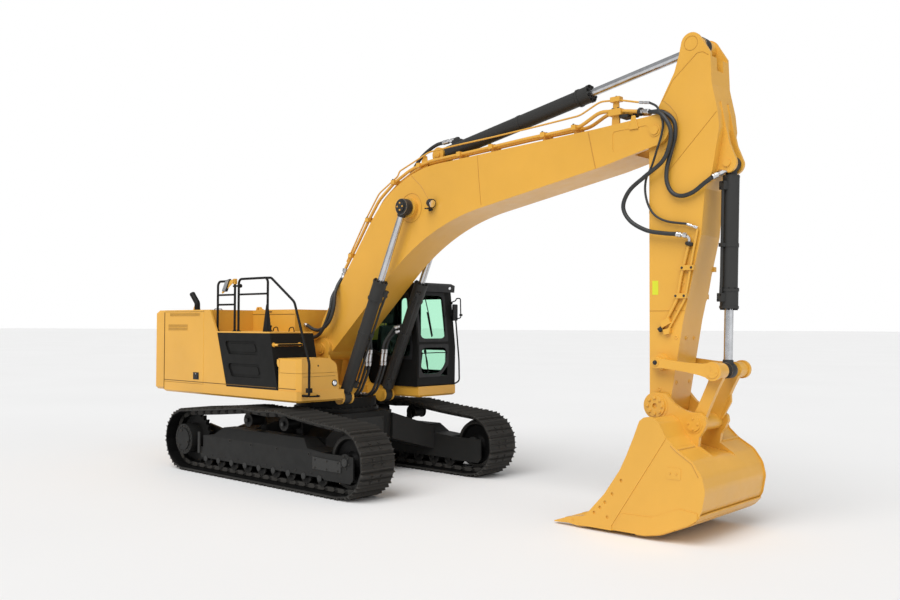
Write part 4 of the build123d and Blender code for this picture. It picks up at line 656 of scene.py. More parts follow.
def cylinder_dress(name, body, foot, head, y, length, radius, collar, side):
    """Gland bolts, ports and the pipe that runs along one barrel, on the side that a vector names.

    The collar is its radius and its length, and the barrel's length ends at the gland.
    """
    start = side_at(foot, y)
    run = (side_at(head, y) - start).normalized()
    away = Vector(side)
    away = (away - run * away.dot(run)).normalized()
    across = run.cross(away)
    bolts, pipe, blocks = shapes(3)
    bolt_circle(bolts, start + run * length, run, collar[0] - 0.019, 8, 0.017, 0.5)
    bolt_circle(bolts, start + run * (length - collar[1]), -run, collar[0] - 0.006, 8, 0.011, 0.5)
    reach = radius + 0.032
    first = start + run * 0.26 + away * reach
    last = start + run * (length - collar[1] * 0.55) + away * (reach + collar[0] - radius)
    middle = start + run * (length - collar[1] - 0.12) + away * reach
    tube(pipe, bent([first, middle, last - run * 0.04, last], 0.04), 0.018, 12)
    deep = reach - radius
    for point in (first, last):
        corner = point - run * 0.05 - across * 0.038 - away * (deep + 0.006)
        slab(blocks, corner, run * 0.10, across * 0.076, away * (deep + 0.03))
        bolt(bolts, point + across * 0.022 + away * 0.024 + run * 0.03, away, 0.009)
        bolt(bolts, point - across * 0.022 + away * 0.024 - run * 0.03, away, 0.009)
    inner, outer, wide = radius - 0.002, radius + 0.006, 0.045
    band = ((0, inner), (0, outer), (wide, outer), (wide, inner))
    hoop(blocks, start + run * (length * 0.55), run, band, 32)
    corner = start + run * length * 0.55 + away * radius - across * 0.032
    slab(blocks, corner, run * wide, across * 0.064, away * 0.056)
    lip = ((0, 0.056), (0, 0.085), (0.004, 0.084), (0.006, 0.066), (0.006, 0.056))
    hoop(blocks, start + run * (length - 0.001), run, lip, 28)
    piece(name + "_pipe", pipe, body, BLACK)
    piece(name + "_blocks", blocks, body, BLACK, 0.003)
    piece(name + "_bolts", bolts, body, SATIN)


def rod_eye(shape, pin, foot, y, side, radii, shoulder, sides, stand, neck):
    """Painted shell over a rod's chrome eye: radii of bore, rim and eye, and the neck that stands below it."""
    centre = side_at(pin, y)
    bore, rim, radius = radii
    half = 0.066
    profile = ((-half, bore), (-half, rim), (-shoulder, radius), (shoulder, radius), (half, rim), (half, bore))
    turned(shape, centre, (0, side, 0), profile, sides)
    run = (centre - side_at(foot, y)).normalized()
    turned(shape, centre - run * stand, run, neck, 28)


def build_cylinders():
    """What dresses the four cylinders."""
    for side, letter in SIDES:
        cylinder_dress(f"boom_cylinder_{letter}", "boom_cylinder_barrels", BOOM_CYLINDER_FOOT, BOOM_HEAD_PIN,
                       side * BOOM_CYLINDER_Y, 1.99, 0.095, (0.109, 0.31), (1, -side * 0.9, 0))
    cylinder_dress("stick_cylinder", "stick_cylinder_barrel", STICK_CYLINDER_FOOT, STICK_NOSE,
                   0, 2.70, 0.105, (0.114, 0.20), (0, 0.8, 0.6))
    cylinder_dress("bucket_cylinder", "bucket_cylinder_barrel", BUCKET_CYLINDER_FOOT, LINK_PIN,
                   0, 1.69, 0.096, (0.104, 0.23), (-0.35, -1, 0))
    boom_eyes, bucket_eye, stick_eye = shapes(3)
    neck = ((0, 0.053), (0.004, 0.062), (0.03, 0.066), (0.06, 0.075))
    cap = ((0, 0.077), (0.026, 0.077), (0.0265, 0.06), (0.0265, 0.001))
    for side in (-1, 1):
        y = side * BOOM_CYLINDER_Y
        rod_eye(boom_eyes, BOOM_HEAD_PIN, BOOM_CYLINDER_FOOT, y, side, (0.076, 0.118, 0.1225), 0.055, 40,
                0.155, neck)
        turned(boom_eyes, side_at(BOOM_HEAD_PIN, y) + Vector((0, side * 0.0655, 0)), (0, side, 0), cap, 32)
    piece("boom_rod_eyes", boom_eyes, "boom_cylinder_rods", BLACK, 0.003)
    neck = ((0, 0.053), (0.004, 0.06), (0.025, 0.062), (0.05, 0.07))
    rod_eye(bucket_eye, LINK_PIN, BUCKET_CYLINDER_FOOT, 0, 1, (0.046, 0.09, 0.0945), 0.058, 36, 0.125, neck)
    piece("bucket_rod_eye", bucket_eye, "bucket_cylinder_rod", BLACK, 0.003)
    rod_eye(stick_eye, STICK_NOSE, STICK_CYLINDER_FOOT, 0, 1, (0.05, 0.116, 0.1205), 0.058, 36, 0.15, neck)
    piece("stick_rod_eye", stick_eye, "stick_cylinder_rod", BLACK, 0.003)


def build_bucket_details():
    """Pin retainers, tooth pins, wear strips and weld beads of the bucket and its links; the beads are a darker
    yellow that is painted shade.
    """
    bolts, seams, pins, guards, links = shapes(5)
    for side in (-1, 1):
        bolt_circle(bolts, side_at(BUCKET_PIN, side * 0.334), (0, side, 0), 0.095, 8, 0.017)
        bolt_circle(bolts, side_at(BUCKET_LINK_PIN, side * 0.328), (0, side, 0), 0.06, 4, 0.012, 0.5)
        weld(seams, lay([(6.62, 1.10), (6.69, 1.04), (6.88, 0.92), (6.96, 0.78)], side * 0.807), 0.005)
        for x in (6.62, 6.70):
            bolt(bolts, at(x, side * 0.812, 0.795), (0, side, 0), 0.010)
        turned(links, side_at(LINK_PIN, side * 0.412), (0, side, 0),
               ((0, 0.077), (0.003, 0.075), (0.003, 0.03), (0.0005, 0.028)), 32)
        bolt_circle(links, side_at(LINK_PIN, side * 0.413), (0, side, 0), 0.055, 3, 0.007)
    corner = [(5.425, 0.075), (5.455, 0.19), (5.53, 0.20), (5.60, 0.165), (5.72, 0.145), (5.75, 0.115),
              (5.74, 0.06)]
    for index in range(5):
        middle = 0.755 * (index / 2 - 1)
        for side in (-1, 1):
            turned(pins, at(5.30, middle + side * 0.047, 0.09), (0, side, 0),
                   ((0, 0.02), (0.005, 0.02), (0.006, 0.012), (0.002, 0.011)), 16)
            y = middle + side * 0.05
            weld(seams, [at(5.42, y, 0.135), at(5.54, y, 0.10)], 0.006)
        # The left corner's guard, made once for each tooth and each time in the same place
        side_plate(guards, corner, 0.81, 0.022)
    under = [(6.972, 0.36), (6.91, 0.285), (6.84, 0.237), (6.66, 0.160), (6.49, 0.087), (6.38, 0.064),
             (6.28, 0.047), (6.16, 0.045)]
    for first, second in zip(under, under[1:]):
        run = Vector((second[0] - first[0], 0, second[1] - first[1]))
        out = run.cross(Vector((0, 1, 0))).normalized() * 0.010
        start, end = side_at(first, -0.80), side_at(second, -0.80) - run * 0.06
        prism(guards, [start - out, start + out, end + out, end - out], (0, 1.60, 0))
    for start in (-0.79, 0.36):
        side_plate(guards, [(6.672, 1.083), (6.700, 1.064), (6.690, 1.040), (6.660, 1.060)], start, 0.43)
    piece("bucket_wear_strips", guards, "bucket", YELLOW, 0.004)
    piece("bucket_bolts", bolts, "bucket", YELLOW)
    # The beads' darker yellow is painted shade
    piece("bucket_seams", seams, "bucket", SEAM_SHADE)
    piece("tooth_pins", pins, "bucket", YELLOW)
    piece("link_pin_caps", links, "guide_links", YELLOW)


# House and cab


def latch(shape, shine, x, side):
    """Recessed paddle latch on a side door: frame, paddle and lock barrel."""
    wide, high, y, z = 0.17, 0.12, WALL_Y, 1.575
    box(shape, (x - wide / 2, x + wide / 2), (side * y, side * (y + 0.006)), (z - high / 2, z + high / 2))
    box(shape, (x - wide * 0.36, x + wide * 0.36), (side * y, side * (y + 0.016)),
        (z - high * 0.3, z + high * 0.12))
    barrel = ((0, 0.011), (0.006, 0.011), (0.007, 0.006))
    turned(shine, at(x, side * (y + 0.006), z + high * 0.3), (0, side, 0), barrel, 14)


def louvre(painted_shade_field, slats, x, z, side):
    """Pressed vent: a field of painted shade under upright slats."""
    pitch, wide = 0.028, 0.014
    box(painted_shade_field, x, (side * WALL_Y, side * (WALL_Y + 0.0012)), z)
    count = int((x[1] - x[0]) / pitch)
    for index in range(count + 1):
        left = x[0] + (x[1] - x[0] - wide) * index / count
        box(slats, (left, left + wide), (side * WALL_Y, side * (WALL_Y + 0.0035)), (z[0] - 0.004, z[1] + 0.004))


def build_side_doors():
    """Vents and latches of the service doors."""
    rear, middle = (-2.70, -1.80), (-1.35, -0.70)
    for body, side, latch_x, grids in (
        ("service_door_right", -1, -1.87,
         (((-2.71, -1.77), (2.585, 2.635)), ((-2.76, -2.14), (2.34, 2.385)), ((-2.76, -2.14), (2.395, 2.44)))),
        ("service_door_rear", 1, -1.68, ((rear, (2.40, 2.46)), (rear, (2.48, 2.54)), (rear, (2.32, 2.38)))),
        ("service_door_middle", 1, -0.55, ((middle, (2.40, 2.46)), (middle, (2.48, 2.54)))),
    ):
        painted_shade_field, slats, frame_shape, shine = shapes(4)
        for x, z in grids:
            louvre(painted_shade_field, slats, x, z, side)
        # The field behind the slats is painted shade
        piece(body + "_vent_shade", painted_shade_field, body, SHADOW)
        piece(body + "_slats", slats, body, YELLOW)
        latch(frame_shape, shine, latch_x, side)
        piece(body + "_latch", frame_shape, body, PLASTIC, 0.004)
        piece(body + "_lock", shine, body, STEEL)


def build_hood_details():
    """Vents of the engine hood with painted shade between the slats, its grips, a strip of painted shade for the
    groove in the wall below it, and the roof's panels.
    """
    painted_shade_field, slats, grips, wall_groove_shade, panels = shapes(5)
    for x in (-2.72, -2.30, -1.88):
        box(painted_shade_field, (x - 0.14, x + 0.14), (-0.35, 1.15), (ROOF_Z, 2.6915))
        for index in range(9):
            left = x - 0.135 + 0.032 * index
            box(slats, (left, left + 0.014), (-0.36, 1.16), (ROOF_Z, 2.696))
    # The field behind the slats is painted shade
    piece("hood_vent_shade", painted_shade_field, "engine_hood", SHADOW)
    piece("hood_slats", slats, "engine_hood", YELLOW)
    for y in (-0.45, 1.25):
        ends = ((y - 0.08, 2.688), (y - 0.08, 2.73), (y + 0.08, 2.73), (y + 0.08, 2.688))
        tube(grips, bent([at(-2.80, *end) for end in ends], 0.02), 0.008)
    piece("hood_grips", grips, "engine_hood", SATIN)
    # A strip of painted shade stands for the groove in the wall
    box(wall_groove_shade, (-1.47, -0.31), (-0.6425, -0.64), (2.612, 2.622))
    box(wall_groove_shade, (-1.05, -0.93), (-0.650, -0.64), (2.652, 2.672))
    piece("hood_wall_groove_shade", wall_groove_shade, "house", SHADOW)
    box(panels, (-1.50, -0.42), (0.62, 1.40), (ROOF_Z, 2.70))
    box(panels, (-1.50, -0.42), (-0.52, 0.52), (ROOF_Z, 2.70))
    for x in (-1.42, -0.50):
        for y in (-0.46, 0.46, 0.68, 1.34):
            bolt(panels, at(x, y, 2.70), (0, 0, 1), 0.012)
    piece("roof_panels", panels, "house", YELLOW, 0.003)


def build_tail_details():
    """Lamps of the counterweight, and strips of painted shade for the seams along the house's sides."""
    lamp, lens, seam = shapes(3)
    for side in (-1, 1):
        angle = math.radians(180 - side * 17)
        out = Vector((math.cos(angle), math.sin(angle), 0))
        across = Vector((-out.y, out.x, 0))
        centre = at(TAIL_RADIUS * out.x, TAIL_RADIUS * out.y, 1.52)
        corner = centre - across * 0.11 + Vector((0, 0, -0.035)) - out * 0.02
        slab(lamp, corner, across * 0.22, Vector((0, 0, 0.07)), out * 0.016)
        corner = corner + across * 0.015 + Vector((0, 0, 0.012)) + out * 0.0145
        slab(lens, corner, across * 0.19, Vector((0, 0, 0.046)), out * 0.004)
    piece("tail_lamps", lamp, "house", BLACK, 0.003)
    piece("tail_lamp_glass", lens, "house", LENS, 0.002)
    # Strips of painted shade stand for the seams
    for start, end in (
        ((-2.8815, -1.4965, 1.31), (-2.8815, -1.4965, 2.655)),
        ((-2.87, -1.4955, 1.474), (0.33, -1.4955, 1.474)),
        ((-2.8815, 1.4965, 1.31), (-2.8815, 1.4965, 2.655)),
        ((-2.87, 1.4955, 1.402), (-0.36, 1.4955, 1.402)),
        ((0.335, -1.4805, 1.474), (0.79, -1.4805, 1.474)),
    ):
        weld(seam, spots([start, end]), 0.006)
    piece("tail_seam_shade", seam, "house", SHADOW)


def studs(shape, x, y, z, rows, columns, profile):
    """Rows of tread studs, from (start, step) pairs of x and y."""
    for row in range(rows):
        for column in range(columns):
            turned(shape, at(x[0] + row * x[1], y[0] + column * y[1], z), (0, 0, 1), profile, 8)


def build_walkway_details():
    """Filler cap, hooks, studs, and the joints, gusset, grip and mirror of the rails."""
    black, grip, head, arm, glass, deck, tread = shapes(7)
    cap = ((0, 0.05), (0.02, 0.05), (0.025, 0.035), (0.07, 0.035), (0.085, 0.045), (0.10, 0.04))
    turned(black, at(-0.22, -1.22, DECK_Z), (0, 0, 1), cap, 20)
    gusset = [(-0.06, 2.76), (-0.01, 2.76), (0.07, 2.345), (0.07, DECK_Z), (-0.14, DECK_Z), (-0.14, 2.345)]
    side_plate(black, gusset, -1.406, 0.012)
    for x in (-0.35, 0.06):
        hook = [(x, 2.33), (x + 0.03, 2.39), (x + 0.11, 2.40), (x + 0.14, 2.33)]
        tube(black, flowing(lay(hook, -1.05)), 0.009, 8)
    tube(black, [at(-0.95, RAIL_Y, 3.07), at(-0.76, RAIL_Y, 3.07)], 0.016, 12)
    joint = ((-0.03, 0.022), (-0.025, 0.032), (0.025, 0.032), (0.03, 0.022))
    turned(black, at(-0.77, RAIL_Y, 3.07), (1, 0, 0), joint, 16)
    foot = ((0, 0.045), (0.008, 0.045), (0.010, 0.024), (0.03, 0.022))
    for x in (-1.39, -0.905, -0.80, -0.025):
        turned(black, at(x, RAIL_Y, DECK_Z), (0, 0, 1), foot, 20)
    box(black, (0.97, 1.04), (-1.437, -1.363), (1.43, 1.50))
    tube(black, bent(spots([(1.005, RAIL_Y, 1.375), (1.02, -1.20, 1.372), (0.855, -1.12, 1.372)]), 0.05), 0.013)
    piece("rail_joints", black, "house", SATIN, 0.003)

    # The grip stands out from the leaning rails of the steps
    z = 2.13
    lean = (0.355 - 0.150) / (2.31 - 1.44)
    x = 0.367 - lean * (z - 1.44)
    tube(grip, bent(spots([(x, -1.45, z), (x + 0.077, -1.45, z), (x + 0.077, -0.95, z), (x, -0.95, z)]), 0.045),
         0.0195, 14)
    for y in (-1.45, -0.95):
        turned(grip, at(x - 0.003, y, z), (1, 0, 0.23), ((-0.002, 0.035), (0.008, 0.035), (0.01, 0.02)), 18)
    piece("step_grip", grip, "house", YELLOW)

    side_plate(head, [(-1.20, 2.99), (-1.10, 3.17), (-0.98, 3.19), (-1.09, 2.98)], -1.46, 0.05)
    piece("rail_mirror_head", head, "house", PLASTIC, 0.014, 3)
    side_plate(arm, [(-1.23, 2.97), (-1.20, 2.95), (-0.90, 3.13), (-0.90, 3.18), (-1.02, 3.16)], -1.44, 0.012)
    side_plate(arm, [(-0.93, 3.10), (-0.88, 3.10), (-0.88, 3.19), (-0.93, 3.19)], -1.425, 0.05)
    piece("rail_mirror_arm", arm, "house", YELLOW, 0.004)
    side_plate(glass, [(-1.187, 3.0), (-1.095, 3.155), (-0.995, 3.175), (-1.097, 2.995)], -1.4615, 0.003)
    piece("rail_mirror_glass", glass, "house", MIRROR)

    stud = ((0, 0.012), (0.004, 0.010), (0.0045, 0.006))
    studs(deck, (-1.38, 0.063), (-1.30, 0.085), 2.3318, 22, 8, stud)
    studs(deck, (-1.38 + 22 * 0.063, 0.063), (-1.30, 0.085), 2.3318, 2, 7, stud)
    piece("walkway_studs", deck, "house", YELLOW)
    studs(tread, (0.44, 0.05), (-1.34, 0.06), 1.9298, 7, 9, ((0, 0.010), (0.003, 0.008), (0.0035, 0.005)))
    piece("toolbox_studs", tread, "toolbox_lid", YELLOW)


def build_toolbox_details():
    """Lamp, screw, and a strip of painted shade for the groove in the toolbox's front."""
    lamp, lens, screw, groove = shapes(4)
    rim = ((0, 0.05), (0.01, 0.052), (0.014, 0.046), (0.012, 0.04))
    turned(lamp, at(TOOLBOX_X, -0.775, 1.545), (1, 0, 0), rim, 24)
    piece("toolbox_lamp", lamp, "house", PLASTIC)
    turned(lens, at(0.856, -0.775, 1.545), (1, 0, 0), ((0, 0.041), (0.006, 0.036), (0.009, 0.02)), 24)
    piece("toolbox_lamp_glass", lens, "house", LENS)
    turned(screw, at(TOOLBOX_X, -1.10, 1.82), (1, 0, 0), ((0, 0.014), (0.005, 0.013), (0.006, 0.006)), 14)
    piece("toolbox_screw", screw, "toolbox_lid", SATIN)
    # A strip of painted shade stands for the groove
    box(groove, (0.85, 0.8515), (-1.39, -0.76), (1.655, 1.660))
    piece("toolbox_groove_shade", groove, "house", SHADOW)


# Side and route of each hose from the boom's pipes to the house
FOOT_HOSES = (
    (-1, [(0.42, 0.26, 3.20), (0.40, 0.33, 3.08), (0.42, 0.41, 2.93), (0.42, 0.43, 2.73), (0.32, 0.43, 2.51),
          (0.14, 0.43, 2.38), (-0.04, 0.43, 2.36), (-0.24, 0.43, 2.43)]),
    (-1, [(0.40, 0.13, 3.20), (0.33, 0.24, 3.08), (0.33, 0.38, 2.90), (0.33, 0.425, 2.70), (0.22, 0.43, 2.47),
          (0.08, 0.43, 2.30), (-0.08, 0.43, 2.24), (-0.24, 0.44, 2.28)]),
    (1, [(0.42, 0.24, 3.20), (0.38, 0.33, 3.08), (0.40, 0.40, 2.93), (0.40, 0.43, 2.73), (0.30, 0.44, 2.51),
         (0.14, 0.45, 2.34), (-0.04, 0.45, 2.28), (-0.24, 0.45, 2.30)]),
)


def build_foot_hoses():
    """Hoses from the boom's pipes to the house, and the pairs to its cylinders."""
    steel = bmesh.new()
    for index, (side, route) in enumerate(FOOT_HOSES):
        shape = bmesh.new()
        hose(shape, spots(route, side), 0.029)
        line = piece(f"foot_hose_{index}", shape, None, HOSE)
        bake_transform(line)
        x, y, z = route[-1]
        fitting(steel, (x, side * y, z), (-0.303, side * y, z + 0.02), 0.027)
    piece("foot_hose_fittings", steel, "house", STEEL)

    steel, block, ports = shapes(3)
    radius = 0.022
    for side, letter in SIDES:
        lower, upper = shapes(2)
        for shift in (0.0, 0.075):
            y = 0.13 + shift
            low = [(0.50, 1.305), (0.62, 1.30), (0.74, 1.37), (0.83, 1.52), (0.90, 1.66), (0.95, 1.79)]
            hose(lower, lay(low, side * y), radius)
            end = (1.10, side * (0.27 + shift * 0.3), 2.40 - shift)
            rise = spots([(0.985, y, 2.05), (1.0, y + 0.02, 2.16), (1.04, y + 0.07, 2.27)], side)
            hose(upper, rise + [at(*end)], radius)
            y *= side
            fitting(steel, (0.95, y, 1.79), (0.968, y, 1.905), radius)
            fitting(steel, (0.985, y, 2.05), (0.972, y, 1.935), radius)
            turned(steel, at(0.968, y, 1.90), (0.09, 0, 1), ((0, 0.026), (0.035, 0.026)), 6)
            fitting(steel, (0.50, y, 1.305), (0.402, y, 1.31), radius)
            fitting(ports, end, (1.14, side * 0.35, 2.42 - shift), radius)
        piece(f"boom_cylinder_hoses_{letter}", lower, "house", HOSE)
        line = piece(f"boom_cylinder_risers_{letter}", upper, None, HOSE)
        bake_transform(line)
        box(block, (1.09, 1.20), (side * 0.335, side * 0.37), (2.28, 2.46))
    piece("boom_cylinder_unions", steel, "house", STEEL)
    piece("boom_cylinder_port_fittings", ports, "boom_cylinder_barrels", STEEL)
    piece("boom_cylinder_ports", block, "boom_cylinder_barrels", BLACK, 0.004)


def front_x(z):
    """How far forward the cab's front surface is at a height: nearly upright below its bend, then leaning."""
    bend = 2.08
    return 1.33 + 0.01 * (z - 1.44) / 0.64 if z < bend else 1.34 - 0.125 * (z - bend) / 1.05


def moved_outline(points, amount):
    """Convex outline, given anticlockwise, moved outwards by an amount."""
    lines = []
    for (x0, y0), (x1, y1) in zip(points, points[1:] + points[:1]):
        length = math.hypot(x1 - x0, y1 - y0)
        normal = ((y1 - y0) / length, -(x1 - x0) / length)
        lines.append((normal, normal[0] * x0 + normal[1] * y0 + amount))
    result = []
    for (n, c), (m, d) in zip(lines[-1:] + lines[:-1], lines):
        det = n[0] * m[1] - n[1] * m[0]
        result.append(((c * m[1] - d * n[1]) / det, (n[0] * d - m[0] * c) / det))
    return result


def rounded_outline(points, radius):
    """Outline with each corner rounded by the same number of points."""
    points = [Vector(point) for point in points]
    result = []
    for before, corner, after in zip(points[-1:] + points[:-1], points, points[1:] + points[:1]):
        result += round_corner(before, corner, after, radius, 0.49, 7)
    return result


def seal(shape, points, place, depth, radius=0.09):
    """Raised ring round a window whose inner edge has rounded corners."""
    inside, outside = 0.035, 0.018
    inner = rounded_outline(moved_outline(points, -inside), radius)
    outer = rounded_outline(moved_outline(points, outside), 0.03)
    loops = []
    for outline, offset in ((outer, 0), (outer, 1), (inner, 1), (inner, 0)):
        loops.append([shape.verts.new(place(u, v) + Vector(depth) * offset) for u, v in outline])
    bridge(shape, loops + loops[:1])


def build_cab_windows():
    """Window seals, wipers and the bars in front of the glass."""
    seals, door_seals, wiper = shapes(3)
    for outline in (
        [(0.62, 1.61), (1.10, 1.61), (1.295, 1.79), (1.295, 2.11), (0.62, 2.11)],
        [(0.62, 2.19), (1.295, 2.19), (1.295, 2.975), (0.62, 2.975)],
    ):
        seal(seals, outline, lambda u, v: at(front_x(v) - 0.013, u, v), (0.02, 0, 0), 0.11)
    right = [(0.03, 2.10), (0.56, 1.90), (1.19, 1.90), (1.205, 2.08), (1.11, 2.96), (0.03, 2.96)]
    seal(seals, right, lambda u, v: at(u, 0.588, v), (0, -0.02, 0))
    left = [(0.01, 2.10), (0.33, 2.10), (0.33, 2.96), (0.01, 2.96)]
    seal(seals, left, lambda u, v: at(u, CAB_LEFT_Y, v), (0, 0.02, 0))
    rear = [(0.62, 2.15), (1.295, 2.15), (1.295, 2.95), (0.62, 2.95)]
    seal(seals, rear, lambda u, v: at(-0.088, u, v), (-0.02, 0, 0))
    piece("cab_seals", seals, "house", PLASTIC)
    for pane in ([(0.49, 1.64), (1.175, 1.64), (1.188, 2.05), (0.49, 2.05)],
                 [(0.49, 2.11), (1.185, 2.11), (1.10, 2.925), (0.49, 2.925)]):
        seal(door_seals, pane, lambda u, v: at(u, CAB_LEFT_Y, v), (0, 0.02, 0))
    piece("cab_door_seals", door_seals, "cab_door", PLASTIC)

    top = at(front_x(2.98) + 0.02, 0.80, 2.98)
    low = at(front_x(2.27) + 0.012, 0.93, 2.27)
    turned(wiper, at(front_x(2.99) - 0.01, 0.80, 3.0), (1, 0, 0.1), ((0, 0.03), (0.03, 0.03), (0.04, 0.02)), 18)
    tube(wiper, [top, top.lerp(low, 0.5) + Vector((0.012, 0, 0)), low], 0.008, 8)
    start, end = top.lerp(low, 0.45), low + Vector((0, 0, -0.02))
    right, left = Vector((-0.002, -0.006, 0)), Vector((-0.002, 0.006, 0))
    prism(wiper, [start + right, end + right, end + left, start + left], (-0.022, 0, 0))
    tube(wiper, spots([(1.352, 0.66, 1.985), (1.356, 1.0, 1.99), (1.350, 1.27, 1.985)]), 0.008, 8)
    for y in (0.66, 1.27):
        turned(wiper, at(1.33, y, 1.985), (1, 0, 0), ((0, 0.016), (0.018, 0.014), (0.026, 0.01)), 12)
    tube(wiper, flowing(spots([(1.35, 0.74, 1.985), (1.352, 0.79, 1.83), (1.35, 0.80, 1.66)])), 0.007, 8)
    side_arm = spots([(1.30, 1.30, 2.76), (1.335, 1.28, 2.74), (1.345, 1.22, 2.60), (1.315, 1.22, 2.52)])
    tube(wiper, bent(side_arm, 0.03), 0.007, 8)
    piece("cab_wiper", wiper, "house", SATIN)


def build_cab_outside():
    """Mirror, grab tubes, roof hatch, lamps, door handle, and a black strip of painted shade for the groove in
    the cab's side.
    """
    tubes, head, glass, roof, lamp, lens, door, groove = shapes(8)
    upper = [(1.24, 1.47, 2.83), (1.33, 1.50, 2.86), (1.35, 1.50, 2.90), (1.44, 1.50, 2.90), (1.45, 1.50, 2.57),
             (1.34, 1.50, 2.55)]
    tube(tubes, bent(spots(upper), 0.03), 0.010)
    lower = [(1.32, 1.50, 2.60), (1.34, 1.50, 2.50), (1.41, 1.50, 1.87), (1.42, 1.50, 1.50), (1.33, 1.46, 1.452)]
    tube(tubes, bent(spots(lower), 0.05), 0.013, 12)
    turned(tubes, at(1.24, 1.46, 2.82), (0.2, 1, 0), ((0, 0.028), (0.03, 0.028), (0.045, 0.016)), 14)
    box(tubes, (1.43, 1.475), (1.485, 1.515), (2.60, 2.635))
    piece("cab_tubes", tubes, "house", SATIN)
    back = spots([(1.285, 1.455, 2.52), (1.345, 1.43, 2.52), (1.345, 1.43, 2.80), (1.285, 1.455, 2.80)])
    prism(head, back, (0.015, 0.10, 0))
    piece("cab_mirror", head, "house", PLASTIC, 0.018, 4)
    face = [(1.2915, 1.468, 2.545), (1.3045, 1.535, 2.545), (1.3045, 1.535, 2.775), (1.2915, 1.468, 2.775)]
    prism(glass, spots(face), (-0.008, 0, 0))
    piece("cab_mirror_glass", glass, "house", MIRROR)

    box(roof, (0.25, 0.85), (0.80, 1.25), (3.13, 3.142))
    for y in (0.86, 1.19):
        box(roof, (0.22, 0.28), (y - 0.03, y + 0.03), (3.13, 3.155))
    box(roof, (0.80, 0.84), (0.98, 1.08), (3.14, 3.155))
    for x in (0.05, 0.95):
        box(roof, (x, x + 0.03), (0.66, 1.38), (3.128, 3.137))
    piece("cab_hatch", roof, "house", PLASTIC, 0.006)
    for y in (0.74, 1.32):
        rim = ((0, 0.03), (0.01, 0.038), (0.022, 0.038), (0.022, 0.032))
        turned(lamp, at(1.335, y, 3.065), (1, 0, -0.25), rim, 20)
        turned(lens, at(1.352, y, 3.061), (1, 0, -0.25), ((0, 0.031), (0.005, 0.029), (0.007, 0.015)), 20)
    piece("visor_lamps", lamp, "house", PLASTIC)
    piece("visor_lamp_glass", lens, "house", LENS)
    box(door, (1.06, 1.20), (1.485, 1.500), (1.50, 1.505))
    box(door, (1.02, 1.19), (1.484, 1.492), (1.535, 1.605))
    box(door, (1.05, 1.16), (1.490, 1.508), (1.555, 1.585))
    piece("cab_door_handle", door, "cab_door", SATIN, 0.004)
    # A black strip of painted shade stands for the groove
    box(groove, (-0.02, 1.27), (0.5735, 0.5755), (1.72, 1.728))
    piece("cab_side_groove", groove, "house", GROOVE_SHADE)


def pad(shape, centre, half, tilt, channels=(), crown=0.35):
    """Crowned cushion whose edges pull in, with sewn channels across its width."""
    bmesh.ops.create_cube(shape, size=2.0)
    bmesh.ops.subdivide_edges(shape, edges=shape.edges[:], cuts=14, use_grid_fill=True)
    turn = Matrix.Rotation(tilt, 3, "Y")
    for vert in shape.verts:
        u, v, w = vert.co
        round_off = 1 - crown * 0.5 * (u**4 + v**4) / 2
        swell = 1 + 0.10 * (1 - u * u) * (1 - v * v)
        groove = sum(math.exp(-(((v - channel) / 0.045) ** 2)) for channel in channels)
        seam = math.exp(-((w / 0.12) ** 2)) * 0.02 * max(abs(u), abs(v)) ** 8
        height = w * round_off * swell - (0.16 * groove if w > 0.4 else 0)
        pull = 1 - 0.05 * (abs(w) ** 3) + seam
        along = u * half[0] * pull * (1 - 0.03 * v**4)
        across = v * half[1] * pull * (1 - 0.03 * u**4)
        vert.co = centre + turn @ Vector((along, across, height * half[2]))


def build_seat():
    """Operator's seat: cushion, backrest and headrest on a suspension box."""
    base, cushion, back, rest = shapes(4)
    box(base, (0.19, 0.55), (0.885, 1.175), (1.49, 1.56))
    for z in (1.58, 1.615, 1.65, 1.685):
        box(base, (0.20, 0.54), (0.895, 1.165), (z, z + 0.022))
    box(base, (0.17, 0.60), (0.86, 1.20), (1.715, 1.765))
    for y in (0.97, 1.09):
        tube(base, [at(0.145, y, 2.40), at(0.14, y, 2.52)], 0.008, 8)
    frame_piece = piece("seat_frame", base, "house", SEAT_PLASTIC, 0.006)
    channels = (-0.55, 0.55)
    pad(cushion, at(0.41, 1.03, 1.81), (0.265, 0.232, 0.052), 0.03, channels)
    cushion_piece = piece("seat_cushion", cushion, "house", FABRIC)
    pad(back, at(0.172, 1.03, 2.155), (0.285, 0.222, 0.055), math.radians(-82), channels)
    back_piece = piece("seat_backrest", back, "house", FABRIC)
    pad(rest, at(0.14, 1.03, 2.555), (0.078, 0.125, 0.037), math.radians(-86), crown=0.5)
    rest_piece = piece("seat_headrest", rest, "house", FABRIC)
    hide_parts("seat")


